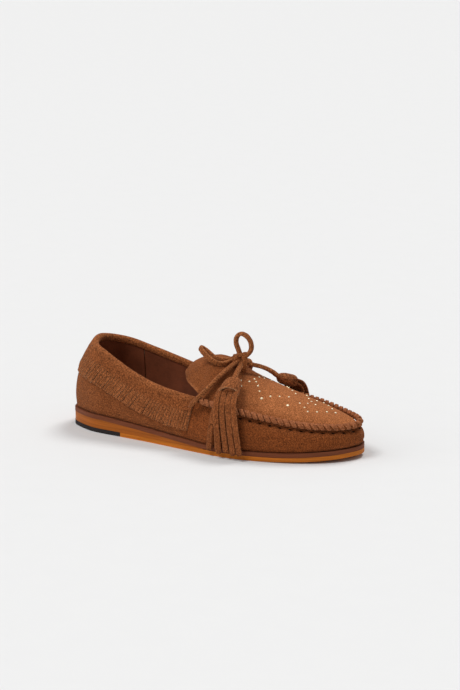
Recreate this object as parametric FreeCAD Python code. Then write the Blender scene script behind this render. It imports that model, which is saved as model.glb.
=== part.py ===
import FreeCAD, Part
import math
import os

# A right-foot moccasin. Millimetres, +X to the toe, -Y to the outer side, +Z up.
# The origin is on the ground, in the middle of the heel.

Vec = FreeCAD.Vector
UP = Vec(0, 0, 1)

# ---------------------------------------------------------------- driving dimensions
TOE_X = 225.0             # front end of the sole
OUTSOLE_THICK = 3.4
MIDSOLE_THICK = 3.3
PLATE_GAP = 0.1           # between the glued layers of the bottom
PLATE_REACH = 60.0        # wider than half the sole
SPRING_POINTS = 9
HEEL_SEAT_HEIGHT = 14.3   # top of the midsole at the heel
FOREPART_HEIGHT = 6.8     # top of the midsole at the ball
WEDGE_SLOPE_FROM = 10.0   # the seat falls between these two places
WEDGE_SLOPE_TO = 120.0
WEDGE_TIP_X = 112.0
TOE_SPRING = 3.5          # lift of the toe off the ground
SPRING_FROM = 140.0
HEEL_PAD_END_X = 29.0
HEEL_PAD_GAP = 0.3

FEATHER_INSET = 2.0       # upper to the edge of the midsole
INSOLE_INSET = 6.8
INSOLE_THICK = 1.8
FOAM_THICK = 2.5
SOCK_THICK = 1.0
BED_GAP = 0.15

SUEDE = 1.6               # upper leather
STIFFENER_DEPTH = (1.75, 2.85)
LINING_DEPTH = (3.0, 3.9)
STAY_DEPTH = (-1.0, -0.15)
COLLAR_GAP = 0.3
COLLAR_SUEDE = 1.3
COLLAR_DEPTH = 25.5       # fringe length below the fold
COLLAR_EXTRA_BEHIND = 3.0  # more of it at the heel
COLLAR_STACK = 2.6        # what the folded strip wraps over
COLLAR_TURN_IN = 1.0      # how far it comes down inside
PLUG_LIFT = 1.75          # top of the plug over the top of the wall
PLUG_SUEDE = 1.5
PLUG_LINING = 0.8
PLUG_ARCH_POWER = 2.3

ROLL_RADIUS = 2.0
ROLL_OUT = 2.2            # the roll lies this far outside the edge of the plug
ROLL_OUT_STEEP = 1.35     # and further beside the throat, where the plug is steep
ROLL_LIFT = 2.3
THREAD_RADIUS = 0.5
STITCH_PITCH = 5.0
STITCH_SLANT = 1.2

# Edge of the sole seen from above, from the heel's back round the outer side to the toe
# and home by the inner side.
SOLE_EDGE = [
    (-30, 0), (-25.5, -15), (-17, -21.7), (0, -29.6), (20, -32.3), (60, -36.1), (100, -41.7),
    (130, -44.5), (155, -42.3), (180, -36), (202, -25.1), (216, -12.2), (222.5, -1),
    (225, 8), (221, 20), (210, 30), (192, 37.5), (170, 42), (150, 42.5), (125, 38), (95, 31),
    (60, 27), (20, 29.5), (-2, 29.5), (-18, 24), (-26.5, 14),
]
# Top edge of the wall above those same places: the topline behind, the plug's seam in front.
TOP_EDGE = [
    (-11.4, 0, 71.6), (-8.8, -10.6, 70.2), (-2.5, -18.8, 68), (10, -25.3, 64.6),
    (26, -28.3, 57.4), (61, -32.5, 45.2), (100, -33, 38.6),
    (129, -36, 35.2), (151.5, -33.6, 31.8), (174, -28.3, 28.2), (194, -19.4, 25.2),
    (210.5, -8.8, 24.2), (217.6, -1, 24.3),
    (220, 6, 24.7), (216.3, 14, 25.8), (205.5, 22, 26.4), (188.5, 28.5, 28.4),
    (169.5, 33.1, 30.8), (150, 35.5, 32.8), (127, 34, 36.3), (97, 30.8, 40.6),
    (60, 28.3, 50.8), (19.5, 26.2, 61.5), (5, 22.5, 66), (-5, 17.3, 68.6), (-10, 9.2, 70.6),
]
THROAT_OUTER, TOE, THROAT_INNER = 6, 13, 20    # stations of the two lists
LAPS = len(SOLE_EDGE)


# ---------------------------------------------------------------- the last's shape
def knots_of(points):
    """Spacing of the stations round the shoe, from the gaps between the sole's points."""
    knots = [0.0]
    for i in range(len(points)):
        here, there = points[i], points[(i + 1) % len(points)]
        knots.append(knots[-1] + math.sqrt(math.dist(here, there)))
    return knots


KNOTS = knots_of(SOLE_EDGE)


def closed_curve(points):
    curve = Part.BSplineCurve()
    curve.interpolate(Points=points, PeriodicFlag=True, Parameters=KNOTS)
    return curve


SOLE_CURVE = closed_curve([Vec(x, y, 0) for x, y in SOLE_EDGE])
TOP_CURVE = closed_curve([Vec(x, y, z) for x, y, z in TOP_EDGE])


def place(station):
    """Position round the shoe of a station, which may be negative, behind the heel."""
    lap, station = divmod(station, LAPS)
    i = int(station)
    return lap * KNOTS[-1] + KNOTS[i] + (station - i) * (KNOTS[i + 1] - KNOTS[i])


def sole_at(u):
    return SOLE_CURVE.value(u % KNOTS[-1])


def top_at(u):
    return TOP_CURVE.value(u % KNOTS[-1])


def outward(u):
    """Level unit vector that points away from the sole."""
    run = SOLE_CURVE.tangent(u % KNOTS[-1])[0]
    return Vec(run.y, -run.x, 0).normalize()


def ramp(value, start, end):
    """0 before start, 1 after end, smooth between."""
    t = min(1.0, max(0.0, (value - start) / (end - start)))
    return t * t * (3 - 2 * t)


def blend(x, rear, waist, front):
    """A size that differs at the heel, the waist and the forepart."""
    back, fore = 1 - ramp(x, -30, 15), ramp(x, 95, 155)
    return waist + (rear - waist) * back + (front - waist) * fore


def toe_spring(x):
    return TOE_SPRING * (max(0.0, x - SPRING_FROM) / (TOE_X - SPRING_FROM)) ** 2


def seat_height(x):
    """Top of the midsole."""
    fall = (x - WEDGE_SLOPE_FROM) / (WEDGE_SLOPE_TO - WEDGE_SLOPE_FROM)
    fall = min(1.0, max(0.0, fall))
    return HEEL_SEAT_HEIGHT + (FOREPART_HEIGHT - HEEL_SEAT_HEIGHT) * fall + toe_spring(x)


def wall_skin(u, v):
    """Outer skin of the upper: v is 0 at the feather line and 1 at the top edge."""
    edge, top, out = sole_at(u), top_at(u), outward(u)
    foot = edge - out * FEATHER_INSET + UP * (seat_height(edge.x) + BED_GAP)
    rise = top.z - foot.z
    belly = foot + out * blend(edge.x, 5, 2.5, 4.5) + UP * 0.38 * rise
    shoulder = top + out * blend(edge.x, 8, 2, 5) - UP * blend(edge.x, 0.2, 0.35, 0.12) * rise
    w = 1 - v
    return foot * w ** 3 + belly * 3 * w * w * v + shoulder * 3 * w * v * v + top * v ** 3


def wall_axes(u, v):
    """Unit vectors at a place on the wall: out of it and up along it."""
    step = 0.02
    along = wall_skin(u + step, v) - wall_skin(u - step, v)
    rising = wall_skin(u, v + step) - wall_skin(u, v - step)
    return along.cross(rising).normalize(), rising.normalize()


def wall(u, v, depth):
    """A place this deep inside the wall's outer skin, or outside it if depth is negative."""
    out, _ = wall_axes(u, v)
    return wall_skin(u, v) - out * depth


def height_below_top(u, distance):
    """The v that lies this far down the wall from its top edge."""
    step, v, gone = 0.02, 1.0, 0.0
    while gone < distance and v > step:
        length = wall_skin(u, v).distanceToPoint(wall_skin(u, v - step))
        v -= step * min(1.0, (distance - gone) / length)
        gone += length
    return v


def spread(start, end, count):
    return [start + (end - start) * i / (count - 1) for i in range(count)]


def round_shoe(first_station, last_station, count):
    return spread(place(first_station), place(last_station), count)


# ---------------------------------------------------------------- solid helpers
def skin(grid):
    surface = Part.BSplineSurface()
    surface.interpolate(grid)
    return surface


def rims(surface):
    first_u, last_u, first_v, last_v = surface.bounds()
    return [surface.uIso(first_u), surface.uIso(last_u),
            surface.vIso(first_v), surface.vIso(last_v)]


def thick_sheet(outer_grid, inner_grid):
    """Closed solid between two sheets of matching points."""
    outer, inner = skin(outer_grid), skin(inner_grid)
    faces = [outer.toShape(), inner.toShape()]
    for rim, other in zip(rims(outer), rims(inner)):
        faces.append(rim.makeRuledSurface(other).toShape())
    shell = Part.makeShell(faces)
    shell.sewShape()
    solid = Part.makeSolid(shell)
    if solid.Volume < 0:
        solid.reverse()
    return solid


def wall_panel(positions, heights, depths):
    """A piece of the wall between two depths."""
    grids = [[[wall(u, v, d) for v in heights] for u in positions] for d in depths]
    return thick_sheet(*grids)


def level_edge(inset):
    """Closed wire that follows the sole's edge, moved inwards."""
    count = 96
    points = [sole_at(u) - outward(u) * inset for u in round_shoe(0, LAPS, count + 1)[:-1]]
    curve = Part.BSplineCurve()
    curve.interpolate(Points=points, PeriodicFlag=True)
    return Part.Wire(curve.toShape())


def profile_line(height, x_from, x_to):
    """Edges along height(x): straight up to the toe spring, then one smooth curve."""
    corners = [x for x in (WEDGE_SLOPE_FROM, WEDGE_SLOPE_TO, SPRING_FROM) if x_from < x < x_to]
    edges = []
    for start, end in zip([x_from] + corners, corners + [x_to]):
        points = [Vec(x, -PLATE_REACH, height(x)) for x in spread(start, end, SPRING_POINTS)]
        if start < SPRING_FROM:
            edges.append(Part.LineSegment(points[0], points[-1]).toShape())
        else:
            curve = Part.BSplineCurve()
            curve.interpolate(points)
            edges.append(curve.toShape())
    return edges


def plate(inset, low, high, x_from=-32.0, x_to=TOE_X + 2):
    """A layer of the bottom: low(x) and high(x) are its faces."""
    edges = profile_line(low, x_from, x_to) + profile_line(high, x_from, x_to)
    for x in (x_from, x_to):
        foot, head = Vec(x, -PLATE_REACH, low(x)), Vec(x, -PLATE_REACH, high(x))
        edges.append(Part.LineSegment(foot, head).toShape())
    side = Part.Face(Part.Wire(Part.__sortEdges__(edges)))
    slab = side.extrude(Vec(0, 2 * PLATE_REACH, 0))
    tall = Part.Face(level_edge(inset)).extrude(UP * PLATE_REACH)
    tall.translate(UP * -PLATE_REACH / 2)
    return slab.common(tall).Solids[0]


def write(name, solids):
    solids = solids if isinstance(solids, list) else [solids]
    for solid in solids:
        if not (solid.isValid() and solid.isClosed() and solid.Volume > 0):
            print("BAD SOLID", name, solid.isValid(), solid.isClosed(), solid.Volume)
    shape = solids[0] if len(solids) == 1 else Part.makeCompound(solids)
    shape.exportStep("parts/" + name + ".step")
    box = shape.BoundBox
    print(f"{name:26s} {len(solids):3d}  x {box.XMin:7.1f} {box.XMax:7.1f}  y {box.YMin:6.1f} "
          f"{box.YMax:6.1f}  z {box.ZMin:6.1f} {box.ZMax:6.1f}  {shape.Volume / 1000:8.2f} cm3")


# ---------------------------------------------------------------- bottom
def outsole_top(x):
    return toe_spring(x) + OUTSOLE_THICK


def midsole_base(x):
    return seat_height(x) - MIDSOLE_THICK


def make_bottom():
    pad_front = HEEL_PAD_END_X
    write("outsole", plate(0, toe_spring, outsole_top, x_from=pad_front + HEEL_PAD_GAP))
    write("heel_top_piece", plate(0, toe_spring, outsole_top, x_to=pad_front))
    write("heel_wedge", plate(0.2, lambda x: outsole_top(x) + PLATE_GAP,
                              lambda x: midsole_base(x) - PLATE_GAP, x_to=WEDGE_TIP_X))
    write("midsole", plate(0, midsole_base, seat_height))
    level = BED_GAP
    for name, thick in (("insole_board", INSOLE_THICK), ("footbed_foam", FOAM_THICK),
                        ("sock_lining", SOCK_THICK)):
        write(name, plate(INSOLE_INSET, lambda x: seat_height(x) + level,
                          lambda x: seat_height(x) + level + thick))
        level += thick + BED_GAP


# ---------------------------------------------------------------- wall of the upper
SIDE_SEAM_OUTER = 5.75    # stations of the seams between vamp and quarters
SIDE_SEAM_INNER = 20.25
LINING_SEAM_OUTER = 3.9   # stations of the seams in the lining
LINING_SEAM_INNER = 22.1
SEAM_GAP = 0.02           # of a station
# How much of the wall's height each inner piece covers, from the feather line to the top.
STAY_HEIGHT = (0.02, 0.4)
COUNTER_HEIGHT = (0.03, 0.62)
LINING_HEIGHT = (0.03, 0.95)
VAMP_LINING_HEIGHT = (0.03, 0.8)
FOAM_HEIGHT = (0.82, 0.98)
STAY_REACH = 0.45         # stations each side of the heel's or the toe's middle
STIFFENER_REACH = 3.6


def make_wall():
    full = spread(0.0, 1.0, 11)
    quarter_depth = (0, SUEDE)
    first, last = SIDE_SEAM_OUTER, SIDE_SEAM_INNER
    write("vamp", wall_panel(round_shoe(first + SEAM_GAP, last - SEAM_GAP, 61), full,
                             quarter_depth))
    write("lateral_quarter", wall_panel(round_shoe(SEAM_GAP, first - SEAM_GAP, 31), full,
                                        quarter_depth))
    write("medial_quarter", wall_panel(round_shoe(last + SEAM_GAP, LAPS - SEAM_GAP, 31), full,
                                       quarter_depth))
    write("back_stay", wall_panel(round_shoe(-STAY_REACH, STAY_REACH, 9),
                                  spread(*STAY_HEIGHT, 7), STAY_DEPTH))
    for name, middle in (("heel_counter", 0), ("toe_puff", TOE)):
        arc = round_shoe(middle - STIFFENER_REACH, middle + STIFFENER_REACH, 33)
        write(name, wall_panel(arc, spread(*COUNTER_HEIGHT, 7), STIFFENER_DEPTH))
    lining_heights = spread(*LINING_HEIGHT, 9)
    linings = {
        "heel_lining": (LINING_SEAM_INNER - LAPS + SEAM_GAP, LINING_SEAM_OUTER - SEAM_GAP, 37),
        "lateral_lining": (LINING_SEAM_OUTER + SEAM_GAP, first - SEAM_GAP, 13),
        "medial_lining": (last + SEAM_GAP, LINING_SEAM_INNER - SEAM_GAP, 13),
    }
    for name, (start, end, count) in linings.items():
        write(name, wall_panel(round_shoe(start, end, count), lining_heights, LINING_DEPTH))
    write("vamp_lining", wall_panel(round_shoe(first + SEAM_GAP, last - SEAM_GAP, 61),
                                    spread(*VAMP_LINING_HEIGHT, 7), LINING_DEPTH))
    write("topline_foam", wall_panel(round_shoe(last - LAPS + 0.1, first - 0.1, 61),
                                     spread(*FOAM_HEIGHT, 4), STIFFENER_DEPTH))


# ---------------------------------------------------------------- fringed collar
COLLAR_ENDS = (THROAT_INNER - LAPS + 0.04, THROAT_OUTER - 0.04)
COLLAR_SLANT = 0.55       # the cut front edge runs back by this at the fringe's tips


def collar_line(u_at, lift):
    """Points across the folded strip, from the fringe's tips over the fold to the inside."""
    stack = COLLAR_STACK
    top_u = u_at(1.0)
    fall = COLLAR_DEPTH + COLLAR_EXTRA_BEHIND * (1 - ramp(sole_at(top_u).x, -30, 40))
    low = height_below_top(top_u, fall)
    inside = height_below_top(top_u, COLLAR_TURN_IN)
    points = []
    for v in spread(low, 1.0, 8)[:-1]:
        points.append(wall(u_at((v - low) / (1 - low)), v, -lift))
    out, rising = wall_axes(top_u, 1.0)
    centre = wall_skin(top_u, 1.0) - out * stack / 2
    radius = stack / 2 + lift
    for angle in spread(0, math.pi, 7):
        points.append(centre + out * radius * math.cos(angle) + rising * radius * math.sin(angle))
    points.append(wall(top_u, (1 + inside) / 2, stack + lift))
    points.append(wall(top_u, inside, stack + lift))
    return points


def make_collar():
    start, end = place(COLLAR_ENDS[0]), place(COLLAR_ENDS[1])
    grids = []
    for lift in (COLLAR_GAP + COLLAR_SUEDE, COLLAR_GAP):
        grid = []
        for t in spread(-1.0, 1.0, 81):
            middle = (start + end) / 2 + t * (end - start) / 2
            back = COLLAR_SLANT * t ** 9
            grid.append(collar_line(lambda up: middle - back * (1 - up), lift))
        grids.append(grid)
    write("fringe_collar", thick_sheet(*grids))


# ---------------------------------------------------------------- plug with its tongue
# Cut edge of the tongue on the outer side, from its rear: x, half the width, height.
TONGUE_EDGE = [(76.5, 8.5, 51), (82.5, 17, 49.5), (90, 23.5, 47.8), (96.5, 27.6, 45.6),
               (100.5, 30, 43.2)]
TONGUE_TILT = 1.5         # the inner edge is this much higher
TONGUE_BOW = 4.0          # how far the rear edge bulges backwards
# Height of the ridge of the plug and tongue at each x.
CROWN = [(66, 46), (70, 50.5), (74, 55.5), (78, 60), (84, 64), (92, 67), (100, 68.7), (108, 68.6),
         (115, 66), (122, 61), (130, 56.5), (140, 52.8), (150, 49.2), (162, 45.4), (173, 42),
         (185, 38.7), (198, 35.2), (210, 31), (219, 27.4), (226, 24)]
PLUG_SEAM_FROM = 0.12     # stations past the throat where the plug's edge joins the wall
PLUG_TIP = 0.35           # stations short of the toe where the last row lies
PLUG_ROWS = 41
ACROSS = spread(-1.0, 1.0, 17)


def open_curve(points, knots):
    curve = Part.BSplineCurve()
    curve.interpolate(Points=points, Parameters=knots)
    return curve


CROWN_CURVE = open_curve([Vec(x, 0, z) for x, z in CROWN], [x for x, z in CROWN])


def plug_edges():
    """Curves of the plug's outer and inner edges, with matching knots."""
    outer = [Vec(x, -half, z) for x, half, z in TONGUE_EDGE]
    inner = [Vec(x, half, z + TONGUE_TILT) for x, half, z in TONGUE_EDGE]
    span = TOE - PLUG_TIP - THROAT_OUTER - PLUG_SEAM_FROM
    for t in spread(0, 1, 9):
        outer.append(top_at(place(THROAT_OUTER + PLUG_SEAM_FROM + t * span)) + UP * PLUG_LIFT)
        inner.append(top_at(place(THROAT_INNER - PLUG_SEAM_FROM - t * span)) + UP * PLUG_LIFT)
    knots = [0.0]
    for i in range(1, len(outer)):
        steps = [side[i].distanceToPoint(side[i - 1]) for side in (outer, inner)]
        knots.append(knots[-1] + sum(steps) / 2)
    return open_curve(outer, knots), open_curve(inner, knots), knots[-1]


def plug_grid():
    outer, inner, length = plug_edges()
    tip = top_at(place(TOE)) + UP * PLUG_LIFT
    tip_bow = tip.x - (outer.value(length).x + inner.value(length).x) / 2
    grid = []
    for t in spread(0.0, 1.0, PLUG_ROWS):
        left, right = outer.value(t * length), inner.value(t * length)
        bow = tip_bow * ramp(t, 0.75, 1.0) - TONGUE_BOW * (1 - ramp(t, 0.0, 0.18))
        middle = (left + right) / 2
        crown = CROWN_CURVE.value(middle.x + bow).z
        line = []
        for c in ACROSS:
            spot = left * ((1 - c) / 2) + right * ((1 + c) / 2)
            spot.x += bow * (1 - c * c)
            spot.z += (crown - middle.z) * (1 - abs(c) ** PLUG_ARCH_POWER)
            line.append(spot)
        grid.append(line)
    return grid


def sunk(grid, depth):
    """The same sheet, moved along its own normals by depth."""
    rows, columns = len(grid), len(grid[0])
    moved = []
    for i in range(rows):
        line = []
        for j in range(columns):
            along = grid[min(i + 1, rows - 1)][j] - grid[max(i - 1, 0)][j]
            across = grid[i][min(j + 1, columns - 1)] - grid[i][max(j - 1, 0)]
            line.append(grid[i][j] - along.cross(across).normalize() * depth)
        moved.append(line)
    return moved


def make_plug():
    top = plug_grid()
    write("plug", thick_sheet(top, sunk(top, PLUG_SUEDE)))
    lining_top = sunk(top, PLUG_SUEDE + BED_GAP)
    lining_base = sunk(top, PLUG_SUEDE + BED_GAP + PLUG_LINING)
    trimmed = [[line[2:-2] for line in sheet[1:-3]] for sheet in (lining_top, lining_base)]
    write("plug_lining", thick_sheet(*trimmed))


# ---------------------------------------------------------------- raised seam round the plug
ROLL_STATIONS = (THROAT_OUTER + 0.3, THROAT_INNER - 0.3)
ROLL_FACE = (-30, 210)    # angles at which the rounded face starts and ends
ROLL_BASE = (-44, 224)    # and those of the flat underneath
STITCH_ARC = (-25, 65, 155)
STITCH_CLEAR = 0.15       # between the thread and the roll


def roll_centre(u):
    edge = top_at(u)
    away = ROLL_OUT + ROLL_OUT_STEEP * (1 - ramp(edge.x, 120, 145))
    return edge + outward(u) * away + UP * ROLL_LIFT


def roll_arc(u, radius, angles):
    """Points round the roll: angle 0 looks away from the shoe and 90 looks up."""
    centre, out = roll_centre(u), outward(u)
    turns = [math.radians(angle) for angle in angles]
    return [centre + out * radius * math.cos(a) + UP * radius * math.sin(a) for a in turns]


def make_seam():
    positions = round_shoe(*ROLL_STATIONS, 81)
    upper = [roll_arc(u, ROLL_RADIUS, spread(*ROLL_FACE, 9)) for u in positions]
    lower = []
    for u in positions:
        first, last = roll_arc(u, ROLL_RADIUS, ROLL_BASE)
        lower.append([first * (1 - t) + last * t for t in spread(0, 1, 9)])
    write("seam_roll", thick_sheet(upper, lower))
    centres = [roll_centre(u) for u in positions]
    length = sum(centres[i].distanceToPoint(centres[i + 1]) for i in range(len(centres) - 1))
    reach = ROLL_RADIUS + THREAD_RADIUS + STITCH_CLEAR
    slant = STITCH_SLANT * (positions[-1] - positions[0]) / length
    stitches = []
    for u in spread(positions[1], positions[-2], int(length / STITCH_PITCH)):
        spots = [roll_arc(u + slant * lean, reach, [angle])[0]
                 for lean, angle in zip((-1, 0, 1), STITCH_ARC)]
        arc = Part.Arc(*spots).toShape()
        start = arc.tangentAt(arc.FirstParameter)
        ring = Part.Wire(Part.Circle(spots[0], start, THREAD_RADIUS).toShape())
        stitches.append(Part.Wire(arc).makePipeShell([ring], True, True).Solids[0])
    write("seam_stitches", stitches)


# ---------------------------------------------------------------- lace, bow and tassels
LACE_DIAMETER = 3.5
KNOT_CENTRE = Vec(122.5, -1, 68.6)
KNOT_HALF = (6.0, 6.0, 6.4)
LACE_ROUTES = {
    "lateral_lace": [(121.3, -7, 66.7), (120.3, -14, 64.9), (118.3, -22, 61.2),
                     (114.3, -29.8, 55), (109.3, -36.4, 47.6), (103.6, -39.9, 41),
                     (98.8, -40.2, 35.4)],
    "medial_lace": [(122.4, 5.6, 66.8), (121.4, 13, 65.6), (118.4, 21.5, 62.2),
                    (114.2, 29, 56), (108.8, 34.9, 48.8), (103, 37.9, 42.4),
                    (98, 38, 37)],
    "upright_loop": [(120.3, -1, 75.2), (118.2, -1.5, 80.2), (117.9, -1, 85.2), (121.2, 0, 89),
                     (126, 1, 87.6), (129.8, 1.5, 83), (130.8, 1.5, 77.6), (128.8, 1, 73.2)],
    "rear_loop": [(117, -8.2, 67.6), (113.6, -14, 67.2), (107.5, -17, 69),
                  (101, -16.8, 71.4), (95.5, -15, 74.4), (92.2, -12.6, 76.2), (91.6, -8.8, 76.4),
                  (94.4, -6.6, 75.2), (100.5, -8.6, 73.2), (107, -10.2, 71.4), (113, -7.6, 70.8),
                  (116.4, -3.6, 70.4)],
    "lateral_drop": [(126, -7.2, 65), (127.3, -14.5, 62.4), (128.3, -20.8, 58.9)],
    "medial_drop": [(129.2, 2.6, 64.2), (135.4, 8.6, 62), (140.6, 15.2, 57.8),
                    (144.6, 20.4, 52.2)],
}
CAP_LENGTH = 16.0
CAP_PROFILE = [(0.0, 2.3), (1.2, 4.2), (4.5, 6.0), (10.0, 6.9), (16.0, 7.2)]   # along, radius
CAP_WALL = 1.4
CAP_WIDE = 1.2            # the bell is wider than deep
CAP_DEEP = 0.72
CORE_START = 6.0          # rolled head of the strips, inside the cap
CORE_RADII = (2.9, 3.7)
STRAND_WIDTH = 4.2
STRAND_PITCH = 5.0
STRAND_THICK = 1.3
ROOT_OUT = 0.7            # the strips start this far outside the mouth
ROOT_PACKING = 0.75       # closer together there than where they hang
MOUTH_RUN = 8.0           # how strongly they leave along the cap
BEND_RUN = 0.3            # where they turn down: shares of the whole way to the foot
BEND_FALL = 0.12
TIP_STEP = 0.9            # every other tip is this much higher
STRAND_POINTS = 18


def lace_path(points):
    """Straight runs joined by tangent arcs, and the arcs' radii."""
    places = [Vec(*point) for point in points]
    edges, radii = [], []
    here = places[0]
    for before, corner, after in zip(places, places[1:], places[2:]):
        came, goes = (corner - before).normalize(), (after - corner).normalize()
        half_turn = came.getAngle(goes) / 2
        reach = 0.45 * min(before.distanceToPoint(corner), corner.distanceToPoint(after))
        radius = reach / math.tan(half_turn)
        start, end = corner - came * reach, corner + goes * reach
        inward = (goes - came).normalize()
        middle = corner + inward * (radius / math.cos(half_turn) - radius)
        edges.append(Part.LineSegment(here, start).toShape())
        edges.append(Part.Arc(start, middle, end).toShape())
        radii.append(round(radius, 1))
        here = end
    edges.append(Part.LineSegment(here, places[-1]).toShape())
    return Part.Wire(edges), radii


def make_laces():
    section = math.pi * LACE_DIAMETER ** 2 / 4
    for name, points in LACE_ROUTES.items():
        path, radii = lace_path(points)
        start = path.Edges[0]
        ring = Part.Circle(Vec(*points[0]), start.tangentAt(start.FirstParameter),
                           LACE_DIAMETER / 2)
        tube = path.makePipeShell([Part.Wire(ring.toShape())], True, True).Solids[0]
        write(name, tube)
        print(f"  {name}: length {path.Length:.1f}, radii {radii}, "
              f"volume over section times length {tube.Volume / section / path.Length:.4f}")


def make_knot():
    ball = Part.makeSphere(1.0)
    matrix = FreeCAD.Matrix()
    matrix.scale(*KNOT_HALF)
    knot = ball.transformGeometry(matrix)
    knot.translate(KNOT_CENTRE)
    write("bow_knot", knot.Solids[0])


def hang(turned, top, bottom):
    """A turned piece, flattened and set along the line from top to bottom."""
    matrix = FreeCAD.Matrix()
    matrix.scale(CAP_WIDE, CAP_DEEP, 1.0)
    flat = turned.transformGeometry(matrix)
    flat.Placement = FreeCAD.Placement(top, FreeCAD.Rotation(-UP, bottom - top))
    return flat.Solids[0] if flat.Solids else Part.makeSolid(flat)


def tassel_core(top, bottom):
    """The rolled head that the strips are cut from."""
    length = top.distanceToPoint(bottom) - CORE_START
    return hang(Part.makeCone(*CORE_RADII, length, UP * -CORE_START, -UP), top, bottom)


def tassel_cap(top, bottom):
    """Bell of wrapped suede, open below, with a closed crown."""
    outside = [Vec(radius, 0, -along) for along, radius in CAP_PROFILE]
    inside = [Vec(radius - CAP_WALL, 0, -along) for along, radius in CAP_PROFILE[2:]]
    outer_line = Part.BSplineCurve()
    outer_line.interpolate(outside)
    inner_line = Part.BSplineCurve()
    inner_line.interpolate(inside)
    crown, ceiling = Vec(0, 0, 0), Vec(0, 0, inside[0].z)
    edges = [outer_line.toShape(), Part.LineSegment(outside[-1], inside[-1]).toShape(),
             inner_line.toShape(), Part.LineSegment(inside[0], ceiling).toShape(),
             Part.LineSegment(ceiling, crown).toShape(),
             Part.LineSegment(crown, outside[0]).toShape()]
    profile = Part.Face(Part.Wire(Part.__sortEdges__(edges)))
    return hang(profile.revolve(Vec(0, 0, 0), UP, 360), top, bottom)


def strand(route):
    """Flat strip whose middle follows the route; it lies along X and faces sideways."""
    half = STRAND_WIDTH / 2
    faces = []
    for side in (0.5, -0.5):
        grid = []
        for i, spot in enumerate(route):
            run = route[min(i + 1, len(route) - 1)] - route[max(i - 1, 0)]
            face = run.cross(Vec(1, 0, 0)).normalize() * STRAND_THICK * side
            grid.append([spot + face + Vec(half * c, 0, 0) for c in (-1, 0, 1)])
        faces.append(grid)
    return thick_sheet(*faces)


def hanging_route(root, foot, mouth_run):
    """Smooth line that leaves the cap's mouth and turns down to hang."""
    fall = foot - root
    bend = Vec(root.x + BEND_RUN * fall.x, foot.y, root.z + BEND_FALL * fall.z)
    points = []
    for t in spread(0, 1, STRAND_POINTS):
        w = 1 - t
        points.append(root * w ** 3 + (root + mouth_run) * 3 * w * w * t
                      + bend * 3 * w * t * t + foot * t ** 3)
    return points


def tassel_strands(mouth, axis, side, edge_y, drift):
    """Two layers of strips from the cap's mouth, hanging past the sole's edge."""
    across = (Vec(1, 0, 0) - axis * axis.x).normalize()
    over = across.cross(axis) * side
    strips = []
    for clear, lift, floor, places in STRAND_LAYERS:
        for i, (start, splay) in enumerate(places):
            packed = start * STRAND_PITCH * ROOT_PACKING
            root = mouth + axis * ROOT_OUT + across * packed + over * lift
            height = floor + TIP_STEP * (i % 2)
            foot = Vec(mouth.x + drift + (start + splay) * STRAND_PITCH,
                       side * (edge_y + clear), height)
            strips.append(strand(hanging_route(root, foot, axis * MOUTH_RUN)))
    return strips


# side, top of the cap, middle of its mouth, half width of the sole there, how far forward the
# strips hang from the mouth
TASSELS = {
    "lateral": (-1, Vec(128.5, -21.9, 58.2), Vec(131.4, -36.2, 50.2), 44.5, 7.0),
    "medial": (1, Vec(145.0, 21.2, 51.4), Vec(148.6, 36.0, 45.6), 42.8, 1.5),
}
# clearance from the sole's edge, height in the mouth, height of the tips, then each strip's
# place in the mouth and how far it splays, in strip widths
STRAND_LAYERS = [
    (4.6, 1.0, 3.4, [(-1.5, 0), (-0.5, 0), (0.5, 0), (1.5, 0)]),
    (2.4, -1.8, 4.2, [(-1.25, -1.85), (-0.4, -1.3), (0.4, -0.8), (1.1, 0)]),
]


def make_tassels():
    for name, (side, top, mouth, edge_y, drift) in TASSELS.items():
        axis = (mouth - top).normalize()
        write(name + "_tassel_cap", tassel_cap(top, mouth))
        write(name + "_tassel_core", tassel_core(top, mouth))
        write(name + "_tassel_strands", tassel_strands(mouth, axis, side, edge_y, drift))


# ---------------------------------------------------------------- studs on the plug
STUD_RADIUS = 0.92
ACCENT_RADIUS = 1.25
STUD_RIM_ANGLE = 25.0     # the dome is cut off this far above its equator
STUD_SEAT_GAP = 0.12
# Half of the pattern: x along the shoe and distance from the middle line.
STUD_ROWS = [
    (129.5, 14.5), (132.5, 19.0), (135.0, 10.5), (135.8, 3.8), (138.8, 6.6), (142.6, 10.6),
    (146.6, 15.2), (156.0, 15.0), (161.4, 10.4), (166.8, 5.4), (177.0, 7.4), (181.4, 3.0),
    (182.4, 10.4), (186.6, 13.4), (192.4, 9.6), (198.0, 4.4), (186.4, 0.0), (203.0, 0.0),
]
ACCENTS = [(151.4, 20.6), (171.2, 15.8)]
PLUG_MIDDLE_Y = [(100, 0), (150, 1.0), (175, 2.4), (205, 6.0)]


def middle_line(x):
    """Where the plug's middle lies: it bends inwards towards the toe."""
    for (x0, y0), (x1, y1) in zip(PLUG_MIDDLE_Y, PLUG_MIDDLE_Y[1:]):
        if x <= x1:
            return y0 + (y1 - y0) * (x - x0) / (x1 - x0)
    return PLUG_MIDDLE_Y[-1][1]


def stud(face, x, y, radius):
    """Domed head whose rim sits on the plug."""
    line = Part.LineSegment(Vec(x, y, 10), Vec(x, y, 90))
    hits, _ = line.intersectCS(face)
    seat = max((Vec(hit.X, hit.Y, hit.Z) for hit in hits), key=lambda spot: spot.z)
    normal = face.normal(*face.parameter(seat))
    normal = normal if normal.z > 0 else -normal
    head = Part.makeSphere(radius, Vec(0, 0, 0), UP, STUD_RIM_ANGLE, 90, 360)
    rim_height = radius * math.sin(math.radians(STUD_RIM_ANGLE))
    centre = seat + normal * (STUD_SEAT_GAP - rim_height)
    head.Placement = FreeCAD.Placement(centre, FreeCAD.Rotation(UP, normal))
    return head.Solids[0] if head.Solids else head


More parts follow.
